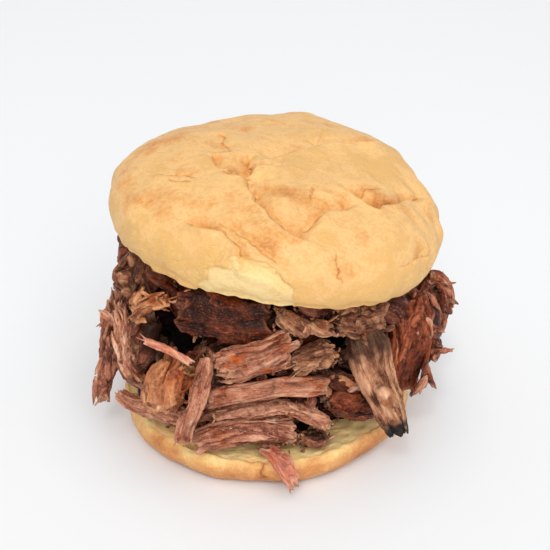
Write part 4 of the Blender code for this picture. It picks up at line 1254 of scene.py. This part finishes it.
def readTable(table, columns, azimuth, across):
    # bilinear reading of a table that wraps round in its first way
    turns = len(table)
    place = np.mod(azimuth, fullTurn) / fullTurn * turns
    left = place.astype(int) % turns
    t = place - np.floor(place)
    right = (left + 1) % turns
    spot = np.clip(np.interp(across, columns, np.arange(len(columns))), 0, len(columns) - 1.001)
    under = spot.astype(int)
    u = spot - under
    low = table[left, under] * (1 - t) + table[right, under] * t
    high = table[left, under + 1] * (1 - t) + table[right, under + 1] * t
    return low * (1 - u) + high * u


def fromAxis(points):
    # each point's azimuth round the heap's own axis, and its distance from that axis
    x, y = points[..., 0] - heapMiddle[0], points[..., 1] - heapMiddle[1]
    return np.arctan2(y, x), np.hypot(x, y)


def readHeap(name, azimuth, share):
    # the heap's radius, or how hollow it is, by azimuth and share of its height
    return readTable(tables[name], tables["share"], azimuth, share)


def topAt(azimuth):
    # the height of the heap's top at an azimuth
    return readTable(np.stack([tables["top"]] * 2, 1), np.array([0.0, 1.0]), azimuth, 0 * azimuth)


def roofOver(points):
    # height of the top bun's underside over each point
    return readTable(tables["roof"], tables["rays"], *fromAxis(points))


def heapPoint(azimuth, share, lift):
    # a place on the heap's outline, moved outwards by lift
    radius = readHeap("radius", azimuth, share) + lift
    height = tables["floor"] + share * (topAt(azimuth) - tables["floor"])
    return np.stack([heapMiddle[0] + radius * np.cos(azimuth), heapMiddle[1] + radius * np.sin(azimuth),
                     height], -1)


def outsideHeap(points):
    # how far each point lies outside the foot of the heap, seen from above
    azimuth, away = fromAxis(points)
    return away - readHeap("radius", azimuth, np.full(len(points), 0.05))


def makeCore(finish):
    # the middle of the heap, dark with painted shade: its outline drawn in and roughened, closed
    # by a floor and a top that follow the two buns
    look = {"inset": 2.6, "around": 320, "rows": 100, "lump": 2.2, "fine": 0.35, "capRows": 14}
    azimuth = np.linspace(0, fullTurn, look["around"], endpoint=False)
    turn, share = np.meshgrid(azimuth, np.linspace(0, 1, look["rows"]))
    side = heapPoint(turn, share, 0 * turn).reshape(-1, 3)
    rise = look["lump"] * creased(side, 3.0, 201) + look["fine"] * waves(side, 1.0, 202)
    rise += 0.6 * look["lump"] * waves(side, 2.2, 203)
    side = heapPoint(turn, share, -(look["inset"] + look["lump"] - rise.reshape(turn.shape)))
    axis = np.array([heapMiddle[0], heapMiddle[1], 0.0])
    shrink = np.linspace(0.05, 0.97, look["capRows"])[:, None, None]
    under = axis + (side[0] - axis) * np.array([1, 1, 0]) * shrink + np.array([0, 0, tables["floor"] + 0.2])
    over = axis + (side[-1] - axis) * np.array([1, 1, 0]) * shrink[::-1]
    over[..., 2] = roofOver(over) - 1.0
    side[..., 2] = np.clip(side[..., 2], tables["floor"] + 0.2, roofOver(side) - 1.0)
    rings = np.concatenate([under, side, over])
    # painted shade on the core, darkest in the creases of its outline
    deep = np.clip(0.7 - 0.6 * creased(rings.reshape(-1, 3), 2.0, 204), 0, 1)
    shape = tubeShape(rings, [rings[0].mean(0), rings[-1].mean(0)], grain=rings, deep=deep, torn=0.0,
                      tone=0.3, char=0.0, tan=0.0, glaze=0.0)
    shadeInside(shape)
    core = makeObject("heapShadeCore", shape, finish)
    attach(core, "root")
    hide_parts("brisket_heap")


# the shreds of the heap: flat is thickness over width, and lift how far they stand off its outline
heapKinds = {
    "leanChunks": dict(kind="lean", count=35, length=(13, 32), wide=(2.6, 6.0), flat=(0.35, 0.65),
        lift=(-3.0, 3.0), strands=3, tone=(0.2, 0.58)),
    "saucedChunks": dict(kind="sauced", count=36, length=(12, 28), wide=(2.8, 7.0), flat=(0.3, 0.6),
        lift=(-3.4, 2.0), strands=3, tone=(0.1, 0.55)),
    "barkChunks": dict(kind="bark", count=34, length=(8, 22), wide=(2.6, 6.0), flat=(0.4, 0.75),
        lift=(-3.0, 3.0), strands=3, tone=(0.1, 0.52)),
    "leanStrands": dict(kind="lean", count=110, length=(9, 26), wide=(0.8, 2.2), flat=(0.35, 0.7),
        lift=(-2.6, 2.8), strands=0, tone=(0.2, 0.7)),
    "saucedStrands": dict(kind="sauced", count=90, length=(8, 24), wide=(0.8, 2.2), flat=(0.35, 0.7),
        lift=(-2.8, 1.8), strands=0, tone=(0.1, 0.65)),
    "fatStrands": dict(kind="fat", count=26, length=(6, 15), wide=(0.8, 2.0), flat=(0.35, 0.7),
        lift=(-2.0, 2.0), strands=0, tone=(0.25, 0.7)),
}
# the deep hollow at the left of the front, where the shreds are darkened with painted shade:
# its middle, half sizes, and how dark the painted shade gets
caveShade = {"at": (-35, -34, 49), "half": (9, 14, 14), "dark": 0.95}
# where the cut face of the lower bun lies bare: azimuth and half width in degrees, then how far
# the shreds are raised, as a share of the heap's height, and drawn inwards in millimetres
bareRim = {"middle": -64, "half": 50, "raised": 0.15, "inwards": 6.5}
# how a shred's path is laid: how often a place is tried, the radius that turns a length into an
# angle, the step along it, and the deepest hollow it may cross
laying = {"tries": 60, "radius": 46, "step": 2.2, "hollow": 3.0}
# what the heap's shreds are like, as bundles with strands and as single ones
heapBundle = dict(pieceLook, step=0.72, around=34, strandAround=12, hairs=1, ridge=0.7, ridgeSize=2.4,
                  fibre=14, plate=0.4, lump=0.7, body=0.9, splay=1.6, drift=0.2, torn=1.5, flare=0.1,
                  uneven=0.12, wander=0.6)
heapStrand = {**pieceLook, **pieceLook["strand"], "fibre": 12, "lump": 0.3}


def layPath(look, chance, half):
    # a line laid on the heap: it runs level or slanting or hangs, bends a little, sinks behind
    # the larger pieces, and is tried elsewhere when it would run through a hollow
    height = tables["top"].mean() - tables["floor"]
    for attempt in range(laying["tries"]):
        azimuth, share = chance.uniform(0, fullTurn), chance.uniform(0.03, 0.97)
        length = chance.uniform(*look["length"])
        slant = chance.normal(0, 0.45) if chance.random() < 0.7 else chance.normal(1.45, 0.3)
        slant *= 1 if chance.random() < 0.5 else -1
        t = np.linspace(-0.5, 0.5, max(7, int(length / laying["step"])))
        direction = slant + chance.normal(0, 0.55) * t
        along, rise = (np.cumsum(way) * length / len(t) for way in (np.cos(direction), np.sin(direction)))
        azimuths = azimuth + (along - along.mean()) / laying["radius"]
        shares = share + (rise - rise.mean()) / height
        hollow = readHeap("hollow", azimuths, np.clip(shares, 0, 1))
        if hollow.max() < laying["hollow"] or chance.random() < 0.05:
            break
    edge = half / height
    over = max(0, shares.max() - (0.99 - edge))
    under = max(0, edge + 0.005 - shares.min())
    shares = np.clip(shares - over + under, edge, 1 - edge)
    lift = (chance.uniform(*look["lift"]) + chance.normal(0, 0.8) * t * 2
            + chance.uniform(0, 1.6) * (t * 2) ** 4)
    lift = lift - 2.0 * (1 - ease(shares, 0.10, 0.45))
    aside = np.degrees(np.angle(np.exp(1j * (azimuths - math.radians(bareRim["middle"])))))
    clear = np.exp(-((aside / bareRim["half"]) ** 4)) * (1 - ease(shares, 0.04, 0.45))
    shares = shares + bareRim["raised"] * clear
    lift = lift - bareRim["inwards"] * clear
    points = heapPoint(azimuths, shares, lift)
    gaps = np.linalg.norm(points[:, None] - pieceSpots["at"][None], axis=2) - pieceSpots["half"][None]
    hidden = 1 - ease(gaps.min(1), half * 0.4, half * 0.4 + 3.0)
    lift = lift - hidden * np.maximum(lift + half * 0.9 + 0.4, 0)
    return heapPoint(azimuths, shares, lift), lift.mean(), hidden.mean()


def makeHeapKinds(finishes):
    # the heap's shreds, kind by kind, each on its own laid path: a bundle with strands where the
    # kind has them, else one strand that tapers by the cube of the distance from its middle
    for number, (name, look) in enumerate(heapKinds.items()):
        chance = np.random.default_rng(900 + number)
        shapes = []
        for item in range(look["count"]):
            half = chance.uniform(*look["wide"])
            thick = half * chance.uniform(*look["flat"])
            points, lift, hidden = layPath(look, chance, half)
            faces = unit((points.mean(0) - heapMiddle) * np.array([1, 1, 0]) + chance.normal(size=3) * 0.35)
            # painted shade: shreds sunk in or hidden behind the larger pieces get a darker tone, raised
            # ones a lighter one
            tone = np.clip(chance.uniform(*look["tone"]) + 0.05 * lift - 0.3 * hidden, 0.03, 0.95)
            if look["strands"]:
                waist = 1 + 0.15 * np.sin(np.linspace(0, 5, len(points)) + chance.uniform(0, 6))
                waist[[0, -1]] *= 0.75
                spine = {"line": points, "faces": faces, "wide": half * waist, "thick": thick * waist}
                own = dict(heapBundle, tone=tone, strands=look["strands"],
                           strandWide=(half * 0.3, half * 0.55))
                shapes += bundleShapes(spine, own, int(chance.integers(1, 1 << 30)))
            else:
                line, place = smoothLine(points, 0.9)
                own = dict(heapStrand, tone=tone)
                taper = 1 - 0.4 * np.abs(2 * place - 1) ** 3
                shapes.append(strandShape(line, faces, half * taper, thick * taper, own, chance, 12))
            # painted shade over shreds that lie hidden behind the larger pieces
            shapes[-1]["deep"] = np.maximum(shapes[-1]["deep"], 0.5 * hidden)
        shape = joinShapes(shapes)
        shadeInside(shape)
        keepUnder(shape)
        piece = makeObject(name, shape, finishes[look["kind"]])
        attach(piece, "root")
        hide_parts("brisket_heap")
    print(f"heap: {len(heapKinds)} kinds of shreds laid on the core")


def shadeInside(shape):
    # painted shade: darkens what lies far inside the heap's outline and in the hollow at the left of
    # the front, as if out of the light; the outline is the imported radius with its hollows filled up again
    azimuth, away = fromAxis(shape["co"])
    share = (shape["co"][:, 2] - tables["floor"]) / (topAt(azimuth) - tables["floor"])
    outline = readHeap("radius", azimuth, share) + np.maximum(readHeap("hollow", azimuth, share), 0)
    inCave = np.linalg.norm((shape["co"] - caveShade["at"]) / caveShade["half"], axis=1)
    for shade in (ease(outline - away, 1.2, 5.5), caveShade["dark"] * (1 - ease(inCave, 0.6, 1.15))):
        shape["deep"] = np.maximum(shape["deep"], shade)


def keepUnder(shape):
    # presses what would touch the buns back between them
    roof = roofOver(shape["co"]) - 0.35
    height = shape["co"][:, 2]
    height = np.where(insideBun(shape["co"]), np.minimum(height, roof), height)
    shape["co"][:, 2] = np.maximum(height, tables["floor"] - 0.3)


def insideBun(points):
    # true under the top bun, seen from above
    low, high = nodeBox("crown")
    middle = (low + high) / 2
    return np.hypot(points[:, 0] - middle[0], points[:, 1] - middle[1]) < (high[0] - low[0]) / 2 - 4.5


def scrapShape(place, size, chance, tone):
    # a small torn bit: a short bent stub of a few fibres, rougher and flatter than it is long
    way, bend = unit(chance.normal(size=(2, 3)))
    bend = unit(np.cross(way, bend))
    t = np.linspace(-1, 1, 6)[:, None]
    path = (place + way * t * size * chance.uniform(0.8, 2.0)
            + bend * t ** 2 * size * chance.uniform(-0.7, 0.7))
    half = size * chance.uniform(0.4, 0.9) * (1 - 0.5 * np.abs(t[:, 0]) ** 3)
    half = half * (1 + 0.18 * chance.normal(size=6))
    look = dict(pieceLook, caps=False, ridge=0.3 * size, ridgeSize=1.0, fibre=3.0, plate=0.25 * size,
                fine=0.1 * size, lump=0.25 * size, lumpSize=1.4, torn=0.5 * size, tornZone=2.0,
                breakSize=0.8, pale=0.4, tone=tone, stray=0.2)
    return strandShape(path, bend, half, half * chance.uniform(0.35, 0.8), look, chance, 8)


# small torn bits: how many lie over the whole heap, round each end of a larger piece, and on the
# cut face of the lower bun, with their size and tone
scrapKinds = {
    "leanScraps": dict(kind="lean", seed=77, onHeap=170, atEnds=3, onBun=26, size=(0.6, 1.8),
        tone=(0.15, 0.75)),
    "barkScraps": dict(kind="bark", seed=78, onHeap=170, atEnds=2, onBun=30, size=(0.5, 1.7),
        tone=(0.05, 0.7)),
    "fatScraps": dict(kind="fat", seed=79, onHeap=60, atEnds=1, onBun=6, size=(0.4, 1.3),
        tone=(0.2, 0.8)),
}


def makeScraps(finishes):
    # small torn bits, at places drawn evenly over the heap, in a normal spread round the ends of
    # the larger pieces, and on the cut face out to its rim
    low, high = nodeBox("lower_bun")
    rim = (high[0] - low[0]) / 2 - 2.4
    middle = (low + high) / 2
    for name, look in scrapKinds.items():
        chance = np.random.default_rng(look["seed"])
        shapes = []
        for number in range(look["onHeap"]):
            azimuth, share = chance.uniform(0, fullTurn), chance.uniform(0.03, 0.96)
            place = heapPoint(np.array([azimuth]), np.array([share]), chance.uniform(-2.2, 0.9))[0]
            size = chance.uniform(*look["size"])
            gap = np.linalg.norm(pieceSpots["at"] - place, axis=1) - pieceSpots["half"]
            if gap.min() > size * 0.2:
                shapes.append(scrapShape(place, size, chance, chance.uniform(*look["tone"])))
        for end, half in zip(pieceSpots["ends"], pieceSpots["endHalf"]):
            for number in range(look["atEnds"]):
                place = end + chance.normal(size=3) * half * np.array([0.5, 0.35, 0.5])
                if place[2] > tables["floor"] + 2 and fromAxis(place)[1] < 56:
                    size = chance.uniform(*look["size"]) * 0.8
                    shapes.append(scrapShape(place, size, chance, chance.uniform(*look["tone"])))
        for number in range(look["onBun"]):
            size = chance.uniform(*look["size"]) * 0.5
            azimuth = np.array([chance.uniform(0, fullTurn)])
            place = heapPoint(azimuth, np.array([0.04]), abs(chance.normal(0, 3.0)))[0]
            flat = place[:2] - middle[:2]
            place[:2] = middle[:2] + flat * min(1, rim / np.linalg.norm(flat))
            place[2] = tables["floor"] - 0.55 + size * 0.5
            shapes.append(scrapShape(place, size, chance, chance.uniform(*look["tone"])))
        shape = joinShapes(shapes)
        shadeInside(shape)
        keepUnder(shape)
        scraps = makeObject(name, shape, finishes[look["kind"]])
        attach(scraps, "root")
        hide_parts("brisket_heap")
    print("heap: scraps and crumbs scattered")


low, high = nodeBox("brisket_heap")
heapMiddle = (low + high) / 2
tables = heapTables()
print("frame: heap and bun outlines read")
addStage()
groups = {"fibre": fibreGroup(), "pore": poreGroup()}
finishes = {kind: meatFinish(kind, look) for kind, look in meatLooks.items()}
pieceSpots = spotsOfPieces()
makeCrown()
makeHeel()
makeCore(finishes["core"])
makePieces(finishes)
makeLooseSets(finishes)
makeHeapKinds(finishes)
makeScraps(finishes)

bpy.context.view_layer.update()
